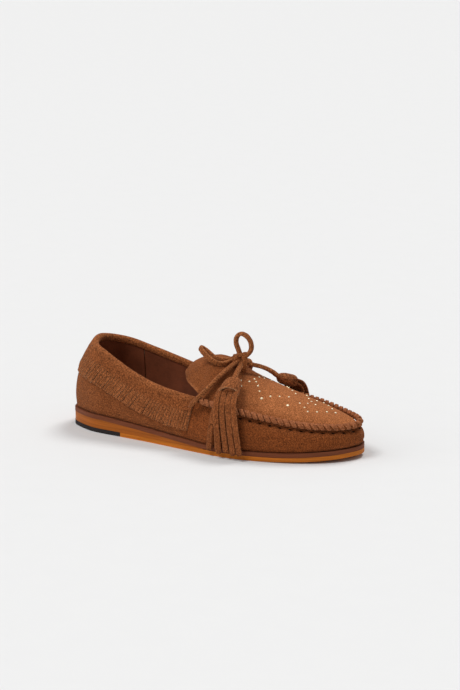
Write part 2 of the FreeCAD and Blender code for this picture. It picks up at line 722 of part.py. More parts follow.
def make_studs():
    face = skin(plug_grid())
    for name, pattern, radius in (("studs", STUD_ROWS, STUD_RADIUS),
                                  ("accent_studs", ACCENTS, ACCENT_RADIUS)):
        heads = []
        for x, off in pattern:
            for side in (-1, 1) if off else (1,):
                heads.append(stud(face, x, middle_line(x) + side * off, radius))
        write(name, heads)


def main():
    os.makedirs("parts", exist_ok=True)
    make_bottom()
    make_wall()
    make_collar()
    make_plug()
    make_seam()
    make_laces()
    make_knot()
    make_tassels()
    make_studs()


main()
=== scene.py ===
import itertools
import math

import bpy
import numpy as np
from mathutils import Matrix, Vector


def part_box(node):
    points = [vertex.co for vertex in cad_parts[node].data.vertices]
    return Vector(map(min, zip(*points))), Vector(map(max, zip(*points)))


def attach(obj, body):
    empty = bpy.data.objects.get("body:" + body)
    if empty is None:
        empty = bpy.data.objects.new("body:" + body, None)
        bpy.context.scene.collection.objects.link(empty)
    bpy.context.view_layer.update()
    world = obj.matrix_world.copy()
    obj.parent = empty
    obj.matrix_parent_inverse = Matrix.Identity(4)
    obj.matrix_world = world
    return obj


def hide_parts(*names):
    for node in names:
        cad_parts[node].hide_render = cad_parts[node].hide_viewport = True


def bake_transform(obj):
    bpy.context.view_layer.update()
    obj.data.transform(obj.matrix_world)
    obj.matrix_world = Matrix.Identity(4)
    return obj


# A right-foot suede moccasin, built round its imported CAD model. Shapes are worked out in
# millimetres in the CAD's frame (+X to the toe, -Y to the outer side, +Z up) and turned into
# metres when a mesh is made.

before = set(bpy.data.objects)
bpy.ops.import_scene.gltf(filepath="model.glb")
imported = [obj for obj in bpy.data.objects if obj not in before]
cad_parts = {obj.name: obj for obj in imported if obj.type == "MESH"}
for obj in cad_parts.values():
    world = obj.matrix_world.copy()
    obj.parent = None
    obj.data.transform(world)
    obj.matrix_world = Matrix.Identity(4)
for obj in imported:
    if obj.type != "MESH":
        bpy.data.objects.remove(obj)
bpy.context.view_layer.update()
MM = 0.001

# -------- the last's shape, as in the CAD
FEATHER_INSET = 2.0
SUEDE = 1.6
PLUG_LIFT = 1.75
PLUG_SUEDE = 1.5
PLUG_ARCH_POWER = 2.3
ROLL_OUT = 2.2
ROLL_OUT_STEEP = 1.35
ROLL_LIFT = 2.3
TOE_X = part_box("midsole")[1].x / MM
HEEL_SEAT = 14.3
FOREPART = 6.8
SLOPE_FROM, SLOPE_TO, SPRING_FROM = 10.0, 120.0, 140.0
TOE_SPRING = 3.5

# Edge of the sole seen from above, from the heel's back round the outer side to the toe
# and home by the inner side, and the top edge of the wall above the same places.
SOLE_EDGE = np.array([
    (-30, 0), (-25.5, -15), (-17, -21.7), (0, -29.6), (20, -32.3), (60, -36.1), (100, -41.7),
    (130, -44.5), (155, -42.3), (180, -36), (202, -25.1), (216, -12.2), (222.5, -1),
    (225, 8), (221, 20), (210, 30), (192, 37.5), (170, 42), (150, 42.5), (125, 38), (95, 31),
    (60, 27), (20, 29.5), (-2, 29.5), (-18, 24), (-26.5, 14),
])
TOP_EDGE = np.array([
    (-11.4, 0, 71.6), (-8.8, -10.6, 70.2), (-2.5, -18.8, 68), (10, -25.3, 64.6),
    (26, -28.3, 57.4), (61, -32.5, 45.2), (100, -33, 38.6),
    (129, -36, 35.2), (151.5, -33.6, 31.8), (174, -28.3, 28.2), (194, -19.4, 25.2),
    (210.5, -8.8, 24.2), (217.6, -1, 24.3),
    (220, 6, 24.7), (216.3, 14, 25.8), (205.5, 22, 26.4), (188.5, 28.5, 28.4),
    (169.5, 33.1, 30.8), (150, 35.5, 32.8), (127, 34, 36.3), (97, 30.8, 40.6),
    (60, 28.3, 50.8), (19.5, 26.2, 61.5), (5, 22.5, 66), (-5, 17.3, 68.6), (-10, 9.2, 70.6),
])
THROAT_OUTER, TOE, THROAT_INNER = 6, 13, 20
LAPS = len(SOLE_EDGE)
TONGUE_EDGE = [(76.5, 8.5, 51), (82.5, 17, 49.5), (90, 23.5, 47.8), (96.5, 27.6, 45.6),
               (100.5, 30, 43.2)]
TONGUE_TILT = 1.5
TONGUE_BOW = 4.0
CROWN = [(66, 46), (70, 50.5), (74, 55.5), (78, 60), (84, 64), (92, 67), (100, 68.7), (108, 68.6),
         (115, 66), (122, 61), (130, 56.5), (140, 52.8), (150, 49.2), (162, 45.4), (173, 42),
         (185, 38.7), (198, 35.2), (210, 31), (219, 27.4), (226, 24)]
PLUG_SEAM_FROM = 0.12
PLUG_TIP = 0.35


def unit(vectors):
    return vectors / np.linalg.norm(vectors, axis=-1, keepdims=True)


class Spline:
    """Smooth curve through points at given knots, closed or open."""

    def __init__(self, points, knots, closed=False):
        self.y = np.asarray(points, float)
        self.x = np.asarray(knots, float)
        self.closed = closed
        count = len(self.x)
        if closed:
            self.y = np.vstack([self.y, self.y[:1]])
        h = np.diff(self.x)
        slope = np.diff(self.y, axis=0) / h[:, None]
        size = count - 1 if closed else count
        matrix, right = np.eye(size), np.zeros((size, self.y.shape[1]))
        for i in range(size):
            if not closed and i in (0, size - 1):
                continue
            matrix[i] = 0
            matrix[i, (i - 1) % size] += h[i - 1]
            matrix[i, i] += 2 * (h[i - 1] + h[i % len(h)])
            matrix[i, (i + 1) % size] += h[i % len(h)]
            right[i] = 6 * (slope[i % len(h)] - slope[i - 1])
        bends = np.linalg.solve(matrix, right)
        self.m = np.vstack([bends, bends[:1]]) if closed else bends

    def __call__(self, u):
        u = np.asarray(u, float)
        u = u % self.x[-1] if self.closed else u
        i = np.clip(np.searchsorted(self.x, u, side="right") - 1, 0, len(self.x) - 2)
        h = self.x[i + 1] - self.x[i]
        a, b = ((self.x[i + 1] - u) / h)[..., None], ((u - self.x[i]) / h)[..., None]
        cubic = ((a ** 3 - a) * self.m[i] + (b ** 3 - b) * self.m[i + 1]) * (h ** 2)[..., None] / 6
        return a * self.y[i] + b * self.y[i + 1] + cubic


def closed_knots(points):
    gaps = np.linalg.norm(np.roll(points, -1, axis=0) - points, axis=1)
    return np.concatenate([[0.0], np.cumsum(np.sqrt(gaps))])


KNOTS = closed_knots(SOLE_EDGE)
sole_at = Spline(np.column_stack([SOLE_EDGE, np.zeros(LAPS)]), KNOTS, closed=True)
top_at = Spline(TOP_EDGE, KNOTS, closed=True)


def place(station):
    """Position round the shoe of a station, which may be negative, behind the heel."""
    lap, station = divmod(station, LAPS)
    i = int(station)
    return lap * KNOTS[-1] + KNOTS[i] + (station - i) * (KNOTS[i + 1] - KNOTS[i])


def ramp(value, start, end):
    t = np.clip((value - start) / (end - start), 0, 1)
    return t * t * (3 - 2 * t)


def at_places(x, rear, waist, front):
    """A size that differs at the heel, the waist and the forepart."""
    back, fore = 1 - ramp(x, -30, 15), ramp(x, 95, 155)
    return waist + (rear - waist) * back + (front - waist) * fore


def outward(u):
    """Level unit vector that points away from the sole."""
    run = sole_at(u + 0.01) - sole_at(u - 0.01)
    return unit(np.stack([run[..., 1], -run[..., 0], 0 * run[..., 0]], -1))


def seat_height(x):
    fall = np.clip((x - SLOPE_FROM) / (SLOPE_TO - SLOPE_FROM), 0, 1)
    spring = TOE_SPRING * (np.clip(x - SPRING_FROM, 0, None) / (TOE_X - SPRING_FROM)) ** 2
    return HEEL_SEAT + (FOREPART - HEEL_SEAT) * fall + spring


UP = np.array([0.0, 0.0, 1.0])


def bezier(points, t):
    """Cubic curve through its first and last points, drawn towards the two between."""
    a, b, c, d = points
    w = 1 - t
    return a * w ** 3 + b * 3 * w * w * t + c * 3 * w * t * t + d * t ** 3


def wall_skin(u, v):
    """Outer skin of the upper: v is 0 at the feather line and 1 at the top edge."""
    u, v = np.broadcast_arrays(np.asarray(u, float), np.asarray(v, float))
    edge, top, out = sole_at(u), top_at(u), outward(u)
    x = edge[..., 0]
    foot = edge - out * FEATHER_INSET + UP * (seat_height(x) + 0.15)[..., None]
    rise = (top[..., 2] - foot[..., 2])[..., None]
    belly = foot + out * at_places(x, 5, 2.5, 4.5)[..., None] + UP * 0.38 * rise
    shoulder = (top + out * at_places(x, 8, 2, 5)[..., None]
                - UP * at_places(x, 0.2, 0.35, 0.12)[..., None] * rise)
    return bezier((foot, belly, shoulder, top), v[..., None])


def wall_axes(u, v):
    step = 0.02
    along = wall_skin(u + step, v) - wall_skin(u - step, v)
    rising = wall_skin(u, v + step) - wall_skin(u, v - step)
    return unit(np.cross(along, rising)), unit(rising)


def wall(u, v, proud):
    """A place this far outside the wall's skin, or inside it if negative."""
    out, _ = wall_axes(u, v)
    return wall_skin(u, v) + out * np.asarray(proud, float)[..., None]


def height_table(u):
    """For each u, distances below the top edge of evenly spaced heights."""
    v = np.linspace(1, 0, 81)
    line = wall_skin(u[:, None], v[None, :])
    gaps = np.linalg.norm(np.diff(line, axis=1), axis=-1)
    return v, np.concatenate([np.zeros((len(u), 1)), np.cumsum(gaps, axis=1)], axis=1)


def height_below_top(u, distance):
    """The v that lies this far down the wall, for matching arrays of u and distance."""
    v, fall = height_table(u)
    return np.array([np.interp(d, f, v) for d, f in zip(distance, fall)])


def gone_along(line):
    """Distance gone at each point of a line."""
    return np.concatenate([[0], np.cumsum(np.linalg.norm(np.diff(line, axis=0), axis=1))])


def even_positions(first, last, spacing):
    """Positions between two stations, evenly spaced along the top edge."""
    u = np.linspace(place(first), place(last), 1200)
    gone = gone_along(top_at(u))
    count = int(round(gone[-1] / spacing)) + 1
    return np.interp(np.linspace(0, gone[-1], count), gone, u)


def lattice(cell, seed):
    """Repeatable number from -1 to 1 for each whole-number place."""
    h = (cell[..., 0] * 374761393 + cell[..., 1] * 668265263 + cell[..., 2] * 1103515245
         + seed * 1274126177) & 0xFFFFFFFF
    h = ((h ^ (h >> 13)) * 1274126177) & 0xFFFFFFFF
    return ((h ^ (h >> 16)) & 0xFFFF) / 32767.5 - 1.0


def lumps(points, size, seed):
    """Smooth noise from -1 to 1 whose lumps are about size across."""
    cell = np.asarray(points, float) / size
    base = np.floor(cell).astype(np.int64)
    t = cell - base
    t = t * t * (3 - 2 * t)
    total = np.zeros(cell.shape[:-1])
    for corner in itertools.product((0, 1), repeat=3):
        corner = np.array(corner)
        weight = np.prod(np.where(corner, t, 1 - t), axis=-1)
        total += weight * lattice(base + corner, seed)
    return total


def new_object(name, data):
    thing = bpy.data.objects.new(name, data)
    bpy.context.scene.collection.objects.link(thing)
    return thing


# -------- materials
def new_material(name, roughness, specular):
    material = bpy.data.materials.new(name)
    material.use_nodes = True
    shader = material.node_tree.nodes["Principled BSDF"]
    shader.inputs["Roughness"].default_value = roughness
    shader.inputs["Specular IOR Level"].default_value = specular
    return material, material.node_tree, shader


def object_place(tree):
    return tree.nodes.new("ShaderNodeTexCoord").outputs["Object"]


def noise_node(tree, scale, detail, roughness=0.6, stretch=(1, 1, 1)):
    mapping = tree.nodes.new("ShaderNodeMapping")
    mapping.inputs["Scale"].default_value = stretch
    texture = tree.nodes.new("ShaderNodeTexNoise")
    texture.inputs["Scale"].default_value = scale
    texture.inputs["Detail"].default_value = detail
    texture.inputs["Roughness"].default_value = roughness
    tree.links.new(object_place(tree), mapping.inputs["Vector"])
    tree.links.new(mapping.outputs["Vector"], texture.inputs["Vector"])
    return texture.outputs["Fac"]


def ramp_node(tree, factor, stops):
    """Colour ramp; stops are (position, colour)."""
    node = tree.nodes.new("ShaderNodeValToRGB")
    elements = node.color_ramp.elements
    while len(elements) < len(stops):
        elements.new(0.5)
    for element, (position, colour) in zip(elements, stops):
        element.position = position
        element.color = (*colour, 1)
    tree.links.new(factor, node.inputs["Fac"])
    return node.outputs["Color"]


def mix_node(tree, factor, first, second, mode="MIX"):
    """Mix two colours; a plain number or colour is set on its socket."""
    node = tree.nodes.new("ShaderNodeMix")
    node.data_type = "RGBA"
    node.blend_type = mode
    for socket, value in ((node.inputs[0], factor), (node.inputs[6], first),
                          (node.inputs[7], second)):
        if isinstance(value, bpy.types.NodeSocket):
            tree.links.new(value, socket)
        else:
            socket.default_value = (*value, 1) if isinstance(value, tuple) else value
    return node.outputs[2]


def math_node(tree, operation, first, second):
    node = tree.nodes.new("ShaderNodeMath")
    node.operation = operation
    for socket, value in zip(node.inputs, (first, second)):
        if isinstance(value, bpy.types.NodeSocket):
            tree.links.new(value, socket)
        else:
            socket.default_value = value
    return node.outputs[0]


def field_node(tree, name):
    node = tree.nodes.new("ShaderNodeAttribute")
    node.attribute_name = name
    return node.outputs["Fac"]


def bump(tree, shader, heights, distance, strength):
    node = tree.nodes.new("ShaderNodeBump")
    node.inputs["Distance"].default_value = distance
    node.inputs["Strength"].default_value = strength
    tree.links.new(heights, node.inputs["Height"])
    tree.links.new(node.outputs["Normal"], shader.inputs["Normal"])


def paint(tree, shader, colours):
    tree.links.new(colours, shader.inputs["Base Color"])


def tone(colour, factor):
    return tuple(min(1.0, c * factor) for c in colour)


def shade(tree, colours, pattern, amount, dark, low, high):
    """Darken the colours towards dark where the pattern is low."""
    stops = [(low, dark), (high, (1.0, 1.0, 1.0))]
    return mix_node(tree, amount, colours, ramp_node(tree, pattern, stops), "MULTIPLY")


def suede(name, colour, pale=1.5, grain=1250, contrast=1.0):
    """Napped leather: fine speckle, streaks along the nap, clouds, paler places for wear and
    painted highlight, and painted shade.
    """
    material, tree, shader = new_material(name, 0.95, 0.06)
    shader.inputs["Sheen Weight"].default_value = 0.1
    shader.inputs["Sheen Roughness"].default_value = 0.45
    shader.inputs["Sheen Tint"].default_value = (1.0, 0.72, 0.5, 1)
    speckle = noise_node(tree, grain, 6, 0.72)
    streaks = noise_node(tree, grain * 0.35, 3, 0.6, (0.35, 1.0, 1.6))
    clouds = noise_node(tree, 55, 3, 0.55)
    colours = ramp_node(tree, speckle, [(0.34, tone(colour, 1 - 0.78 * contrast)),
                                        (0.46, tone(colour, 1 - 0.2 * contrast)),
                                        (0.54, tone(colour, 1 + 0.25 * contrast)),
                                        (0.66, tone(colour, 1 + 1.3 * contrast))])
    colours = shade(tree, colours, streaks, 0.8, (0.78, 0.76, 0.74), 0.32, 0.68)
    colours = shade(tree, colours, clouds, 0.9, (0.84, 0.82, 0.8), 0.3, 0.7)
    # Paler where a per-point field is set: real wear on cut edges, and painted highlight on the
    # plug's top and along folds.
    worn = math_node(tree, "MULTIPLY", field_node(tree, "worn"),
                     math_node(tree, "ADD", speckle, 0.35))
    pale_for_wear_and_highlight = mix_node(tree, 1.0, colours, (pale, pale * 1.17, pale * 1.36), "MULTIPLY")
    colours = mix_node(tree, worn, colours, pale_for_wear_and_highlight)
    # Painted shade: darkened almost to black where a per-point field is set, in holes, creases and
    # along the join with the sole.
    colours = mix_node(tree, field_node(tree, "deep"), colours, tone(colour, 0.1))
    paint(tree, shader, colours)
    fibres = noise_node(tree, grain * 2.4, 4, 0.7)
    nap = math_node(tree, "ADD", speckle, math_node(tree, "MULTIPLY", fibres, 0.6))
    bump(tree, shader, nap, 0.001, 0.7)
    return material


def smooth_leather(name, colour, roughness=0.5):
    """Pigmented lining leather: pebbled cells, fine creases, cloudy colour."""
    material, tree, shader = new_material(name, roughness, 0.35)
    cells = tree.nodes.new("ShaderNodeTexVoronoi")
    cells.inputs["Scale"].default_value = 900
    tree.links.new(object_place(tree), cells.inputs["Vector"])
    clouds = noise_node(tree, 70, 4)
    colours = ramp_node(tree, clouds, [(0.3, tone(colour, 0.75)), (0.7, tone(colour, 1.2))])
    paint(tree, shader, colours)
    pebbles = math_node(tree, "ADD", cells.outputs["Distance"], noise_node(tree, 2200, 3))
    bump(tree, shader, pebbles, 0.0003, 0.3)
    return material


def edge_stack(name, colour, layers, roughness=0.55, coat=0.04):
    """Side of a stacked sole: level lines, long burnished streaks and small scuffs."""
    material, tree, shader = new_material(name, roughness, 0.15)
    shader.inputs["Coat Weight"].default_value = coat
    shader.inputs["Coat Roughness"].default_value = 0.35
    lines = noise_node(tree, layers, 3, 0.6, (0.02, 0.02, 1.0))
    streaks = noise_node(tree, 180, 4, 0.6, (0.12, 0.12, 1.4))
    scuffs = noise_node(tree, 1400, 5, 0.75)
    colours = ramp_node(tree, lines, [(0.3, tone(colour, 0.7)), (0.52, colour),
                                      (0.72, tone(colour, 1.22))])
    colours = shade(tree, colours, streaks, 0.7, (0.8, 0.74, 0.7), 0.35, 0.65)
    paint(tree, shader, colours)
    relief = math_node(tree, "ADD", lines, math_node(tree, "MULTIPLY", scuffs, 0.5))
    bump(tree, shader, relief, 0.0003, 0.35)
    return material


WEAVE_SCALE = 1600 / 6


def fabric(name, colour):
    """Plain woven lining: crossed threads with slubs."""
    material, tree, shader = new_material(name, 0.85, 0.15)
    spots = object_place(tree)
    heights = []
    for direction in ("X", "Y"):
        wave = tree.nodes.new("ShaderNodeTexWave")
        wave.bands_direction = direction
        wave.inputs["Scale"].default_value = WEAVE_SCALE
        wave.inputs["Distortion"].default_value = 1.2
        tree.links.new(spots, wave.inputs["Vector"])
        heights.append(wave.outputs["Fac"])
    weave = math_node(tree, "MAXIMUM", *heights)
    colours = ramp_node(tree, weave, [(0.2, tone(colour, 0.6)), (0.8, tone(colour, 1.15))])
    colours = shade(tree, colours, noise_node(tree, 260, 4), 0.6, (0.8, 0.8, 0.8), 0.35, 0.6)
    paint(tree, shader, colours)
    bump(tree, shader, weave, 0.0002, 0.5)
    return material


def speckled(name, colour, scale, roughness, depth=0.0003):
    """Board, foam or rubber: granular colour and surface."""
    material, tree, shader = new_material(name, roughness, 0.25)
    grains = noise_node(tree, scale, 5, 0.7)
    clouds = noise_node(tree, scale / 12, 3)
    colours = ramp_node(tree, grains, [(0.3, tone(colour, 0.6)), (0.6, tone(colour, 1.2))])
    colours = shade(tree, colours, clouds, 0.8, (0.85, 0.85, 0.85), 0.3, 0.7)
    paint(tree, shader, colours)
    bump(tree, shader, grains, depth, 0.5)
    return material


def pale_gold(name):
    """Plated stud: polished, with faint scratches and tarnish in patches."""
    material, tree, shader = new_material(name, 0.24, 0.5)
    shader.inputs["Metallic"].default_value = 0.25
    stops = [(0.35, (0.92, 0.74, 0.42)), (0.6, (1, 0.9, 0.66))]
    paint(tree, shader, ramp_node(tree, noise_node(tree, 900, 3), stops))
    bump(tree, shader, noise_node(tree, 3000, 4, 0.7, (1, 6, 1)), 0.00005, 0.3)
    return material


def backdrop_paper():
    """Seamless pale paper with the faintest tooth."""
    material, tree, shader = new_material("backdrop_paper", 0.9, 0.1)
    stops = [(0.2, (0.765, 0.765, 0.763)), (0.8, (0.775, 0.775, 0.773))]
    paint(tree, shader, ramp_node(tree, noise_node(tree, 40, 3), stops))
    return material


SUEDE_COLOUR = (0.275, 0.083, 0.025)
CUT_COLOUR = (0.43, 0.19, 0.085)
suede_face = suede("suede_face", SUEDE_COLOUR)
# A slightly lighter copy that pales more strongly, carrying the painted highlight on the plug's
# top.
suede_plug = suede("suede_plug", tone(SUEDE_COLOUR, 1.05), pale=1.95, contrast=0.72)
# A darker, redder copy of the suede: painted shade on the steep wall of the vamp.
suede_vamp_painted_shade = suede("suede_vamp_painted_shade", (0.255, 0.069, 0.018))
suede_cut = suede("suede_cut_edge", CUT_COLOUR, grain=1200)
suede_flesh = suede("suede_flesh_side", (0.33, 0.15, 0.07), grain=600)
suede_thong = suede("suede_thong", (0.31, 0.1, 0.032), pale=1.45, grain=1000)
suede_fringe = suede("suede_fringe", tone(SUEDE_COLOUR, 1.02), grain=900)
suede_tassel = suede("suede_tassel", (0.27, 0.083, 0.026), grain=950)
seam_cord = suede("seam_cord", (0.37, 0.125, 0.05), pale=1.5, grain=800, contrast=0.6)
lining = smooth_leather("lining_leather", (0.2, 0.058, 0.024))
sock = smooth_leather("sock_leather", (0.26, 0.08, 0.032), 0.6)
midsole_edge = edge_stack("midsole_edge", (0.2, 0.058, 0.023), 1500, 0.6, 0.0)
wedge_edge = edge_stack("wedge_edge", (0.43, 0.118, 0.011), 700)
outsole_edge = edge_stack("outsole_edge", (0.58, 0.17, 0.014), 1100)
heel_rubber = speckled("heel_rubber", (0.022, 0.016, 0.015), 1800, 0.75)
fibre_board = speckled("fibre_board", (0.3, 0.22, 0.14), 1200, 0.9)
latex_foam = speckled("latex_foam", (0.62, 0.55, 0.4), 700, 0.95, 0.0008)
stiffener = speckled("stiffener", (0.5, 0.44, 0.34), 1500, 0.85)
lining_cloth = fabric("lining_cloth", (0.3, 0.2, 0.12))
stud_gold = pale_gold("stud_gold")


# -------- mesh building
def object_of(name, points, faces, indices, fields, materials):
    """Mesh object from millimetre points, with one material number for each face."""
    mesh = bpy.data.meshes.new(name)
    mesh.from_pydata((np.asarray(points) * MM).tolist(), [], [list(f) for f in faces])
    for material in materials:
        mesh.materials.append(material)
    mesh.polygons.foreach_set("material_index", np.asarray(indices, np.int32))
    for label, values in fields.items():
        attribute = mesh.attributes.new(label, "FLOAT", "POINT")
        attribute.data.foreach_set("value", np.asarray(values, np.float32))
    mesh.validate()
    mesh.update()
    return new_object(name, mesh)


def rim_quads(index, keep, half):
    """Quads that close the sheet wherever a kept cell has no neighbour."""
    quads = []
    padded = np.pad(keep, 1)
    for r, c in zip(*np.nonzero(padded[1:, 1:-1] != padded[:-1, 1:-1])):
        a, b = index[r, c], index[r, c + 1]
        quad = [a, b, b + half, a + half]
        quads.append(quad if padded[r + 1, c + 1] else quad[::-1])
    for r, c in zip(*np.nonzero(padded[1:-1, 1:] != padded[1:-1, :-1])):
        a, d = index[r, c], index[r + 1, c]
        quad = [a, a + half, d + half, d]
        quads.append(quad if padded[r + 1, c + 1] else quad[::-1])
    return quads


def thick_sheet(name, outer, inner, materials, keep=None, **fields):
    """Closed sheet between two grids. Cells that keep leaves out are open cuts."""
    rows, columns = outer.shape[:2]
    half = rows * columns
    keep = np.ones((rows - 1, columns - 1), bool) if keep is None else keep
    index = np.arange(half).reshape(rows, columns)
    a, b, c, d = index[:-1, :-1], index[:-1, 1:], index[1:, 1:], index[1:, :-1]
    over = np.stack([a, d, c, b], -1)[keep]
    under = np.stack([a, b, c, d], -1)[keep] + half
    rims = np.array(rim_quads(index, keep, half))
    faces = np.vstack([over, rims, under])
    kinds = np.repeat([0, 1, 2], [len(over), len(rims), len(under)])
    used, faces = np.unique(faces, return_inverse=True)
    faces = faces.reshape(-1, 4)
    points = np.vstack([outer.reshape(-1, 3), inner.reshape(-1, 3)])[used]
    values = {label: np.tile(np.ravel(value), 2)[used] for label, value in fields.items()}
    piece = object_of(name, points, faces, kinds, values, materials)
    piece.data.polygons.foreach_set("use_smooth", kinds != 1)
    return piece


CORNER_POWER = 0.55       # 1 makes a ribbon's section oval, less makes it squarer
PALE_EDGE = 0.75          # wear on a ribbon's cut edges


def ribbon(path, half_width, half_thick, wide, seed, rough=0.1, ends=(1.0, 1.0), sides=14):
    """Points, faces and pale edges of a flat tube with rounded edges, along a path.
    wide is the direction across it at the path's two ends; ends taper its last rings."""
    path = np.asarray(path, float)
    count = len(path)
    run = unit(np.gradient(path, axis=0))
    share = np.linspace(0, 1, count)[:, None]
    across = np.asarray(wide[0], float) * (1 - share) + np.asarray(wide[1], float) * share
    across = unit(across - run * np.sum(across * run, axis=1, keepdims=True))
    lift = np.cross(run, across)
    turns = np.linspace(0, 2 * np.pi, sides, endpoint=False)
    cosines, sines = np.cos(turns), np.sin(turns)
    flat_x = np.sign(cosines) * np.abs(cosines) ** CORNER_POWER * half_width
    flat_y = np.sign(sines) * np.abs(sines) ** CORNER_POWER * half_thick
    size = np.ones(count)
    size[[0, -1]] = 0.8
    size *= ends[0] + (ends[1] - ends[0]) * share[:, 0]
    rings = (path[:, None] + across[:, None] * (flat_x[None, :] * size[:, None])[..., None]
             + lift[:, None] * (flat_y[None, :] * size[:, None])[..., None])
    away = unit(rings - path[:, None])
    rings = rings + away * (lumps(rings, 2.2, seed) * rough
                            + lumps(rings, 0.9, seed + 5) * rough * 0.5)[..., None]
    index = np.arange(count * sides).reshape(count, sides)
    turned = np.roll(index, -1, axis=1)
    quads = np.stack([index[:-1], turned[:-1], turned[1:], index[1:]], -1).reshape(-1, 4).tolist()
    faces = quads + [index[0][::-1].tolist(), index[-1].tolist()]
    pale = np.tile(np.abs(cosines) ** 3, (count, 1)) * PALE_EDGE
    return rings.reshape(-1, 3), faces, pale.ravel()


def joined(name, parts, material):
    """One object from several (points, faces, pale edges) parts."""
    points, faces, pale, start = [], [], [], 0
    for part_points, part_faces, part_pale in parts:
        points.append(part_points)
        faces += [[i + start for i in face] for face in part_faces]
        pale.append(part_pale)
        start += len(part_points)
    kinds = np.zeros(len(faces))
    piece = object_of(name, np.vstack(points), faces, kinds, {"worn": np.concatenate(pale)},
                      [material])
    piece.data.polygons.foreach_set("use_smooth", [len(face) == 4 for face in faces])
    return piece


def settle(piece, body, node):
    """Hide the replaced CAD node and put a finished piece on its body."""
    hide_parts(node)
    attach(piece, body)
    return piece


def suede_piece(name, outer, inner, face, body, node, keep=None, **fields):
    """Closed sheet of suede, with cut edges and a flesh side, that replaces a CAD node."""
    piece = thick_sheet(name, outer, inner, [face, suede_cut, suede_flesh], keep, **fields)
    return settle(piece, body, node)


# -------- camera, light and floor
CAMERA_AZIMUTH = math.radians(29.92)
CAMERA_HEIGHT = math.radians(13.0)
CAMERA_AWAY = 1.8386
CAMERA_LENS = 120.5
CAMERA_SENSOR = 36
SHOE_MIDDLE = Vector((0.097, 0.0, 0.025))
FRAMING = (0.012888, 0.050245)    # aim to the right of the shoe's middle and above it
WORLD_LIGHT = 0.36
SUNS = [("key", 1.2, 22, -30, 62), ("side", 0.5, 50, -55, 28), ("back", 1.35, 22, 165, 62)]
FLOOR_REACH = 14.0


def from_middle(azimuth, height):
    """Direction from the shoe to a camera or light at this azimuth and height."""
    level = math.cos(height)
    return Vector((math.sin(azimuth) * level, -math.cos(azimuth) * level, math.sin(height)))


def make_camera():
    right = Vector((math.cos(CAMERA_AZIMUTH), math.sin(CAMERA_AZIMUTH), 0))
    back = from_middle(CAMERA_AZIMUTH, CAMERA_HEIGHT)
    above = back.cross(right)
    spot = SHOE_MIDDLE + right * FRAMING[0] + above * FRAMING[1] + back * CAMERA_AWAY
    data = bpy.data.cameras.new("camera")
    data.sensor_fit = "VERTICAL"
    data.sensor_height = CAMERA_SENSOR
    data.lens = CAMERA_LENS
    data.clip_end = 50
    camera = new_object("camera", data)
    turned = Matrix((right, above, back)).transposed().to_4x4()
    camera.matrix_world = Matrix.Translation(spot) @ turned
    bpy.context.scene.camera = camera


def make_sun(name, strength, softness, azimuth, height):
    """Wide soft light from this direction; all its angles are in degrees."""
    data = bpy.data.lights.new(name, "SUN")
    data.energy = strength
    data.angle = math.radians(softness)
    origin = from_middle(math.radians(azimuth), math.radians(height))
    new_object(name, data).rotation_euler = origin.to_track_quat("Z", "Y").to_euler()


def make_studio():
    world = bpy.data.worlds.new("studio")
    world.use_nodes = True
    background = world.node_tree.nodes["Background"]
    background.inputs["Color"].default_value = (1.0, 1.0, 1.0, 1)
    background.inputs["Strength"].default_value = WORLD_LIGHT
    bpy.context.scene.world = world
    for sun in SUNS:
        make_sun(*sun)
    bpy.context.scene.view_settings.view_transform = "Standard"
    corners = np.array([(-1, -1, 0), (1, -1, 0), (1, 1, 0), (-1, 1, 0)]) * FLOOR_REACH
    mesh = bpy.data.meshes.new("studio_floor")
    mesh.from_pydata(corners.tolist(), [], [(0, 1, 2, 3)])
    mesh.materials.append(backdrop_paper())
    new_object("studio_floor", mesh)


# -------- thongs, bow and tassels
THONG_HALF = (1.95, 1.6)  # half its width and half its thickness, nap included
# Route of each thong from its first end to its last, as the control points of its spline.
THONG_ROUTES = {
    "lateral_lace": [(121.8, -2.4, 67.6), (121.3, -7, 66.7), (120.3, -14, 64.9), (118.3, -22, 61.2),
                     (114.3, -29.8, 55), (109.3, -36.4, 47.6), (103.6, -39.9, 41),
                     (98.8, -40.2, 35.4)],
    "medial_lace": [(122.6, 1.6, 67.2), (122.4, 5.6, 66.2), (121.4, 13, 64.0), (118.4, 21.5, 60.2),
                    (114.2, 29, 55), (108.8, 34.9, 48.8), (103, 37.9, 42.4),
                    (98, 38, 37)],
    "upright_loop": [(122.2, -1, 70.6), (120.3, -1, 75.2), (118.2, -1.5, 80.2),
                     (117.9, -1, 85.2), (121.2, 0, 89), (126, 1, 87.6), (129.8, 1.5, 83),
                     (130.8, 1.5, 77.6), (128.8, 1, 73.2), (124.8, 0.4, 69.8)],
    "rear_loop": [(120.6, -4.4, 69), (117, -8.2, 67.6), (113.6, -14, 65.6), (107.5, -17, 67.2),
                  (101, -16.6, 70.6), (95.6, -14.8, 74.1), (92.4, -12.8, 76), (92, -9.8, 75.9),
                  (95.4, -8.6, 73.8), (101.2, -10.8, 71), (107.4, -12.4, 68.8),
                  (113.4, -9.6, 68), (117, -5, 68.6), (119.6, -1.4, 69.2)],
    "lateral_drop": [(122.5, -0.4, 66.9), (126, -7.2, 65), (127.3, -14.5, 62.4),
                     (128.3, -20.8, 58.9), (130.6, -28.8, 54.4)],
    "medial_drop": [(124.6, -0.6, 66.6), (129.2, 2.6, 64.2), (135.4, 8.6, 62),
                    (140.6, 15.2, 57.8), (144.6, 20.4, 52.2), (145.8, 24.6, 50.2)],
}
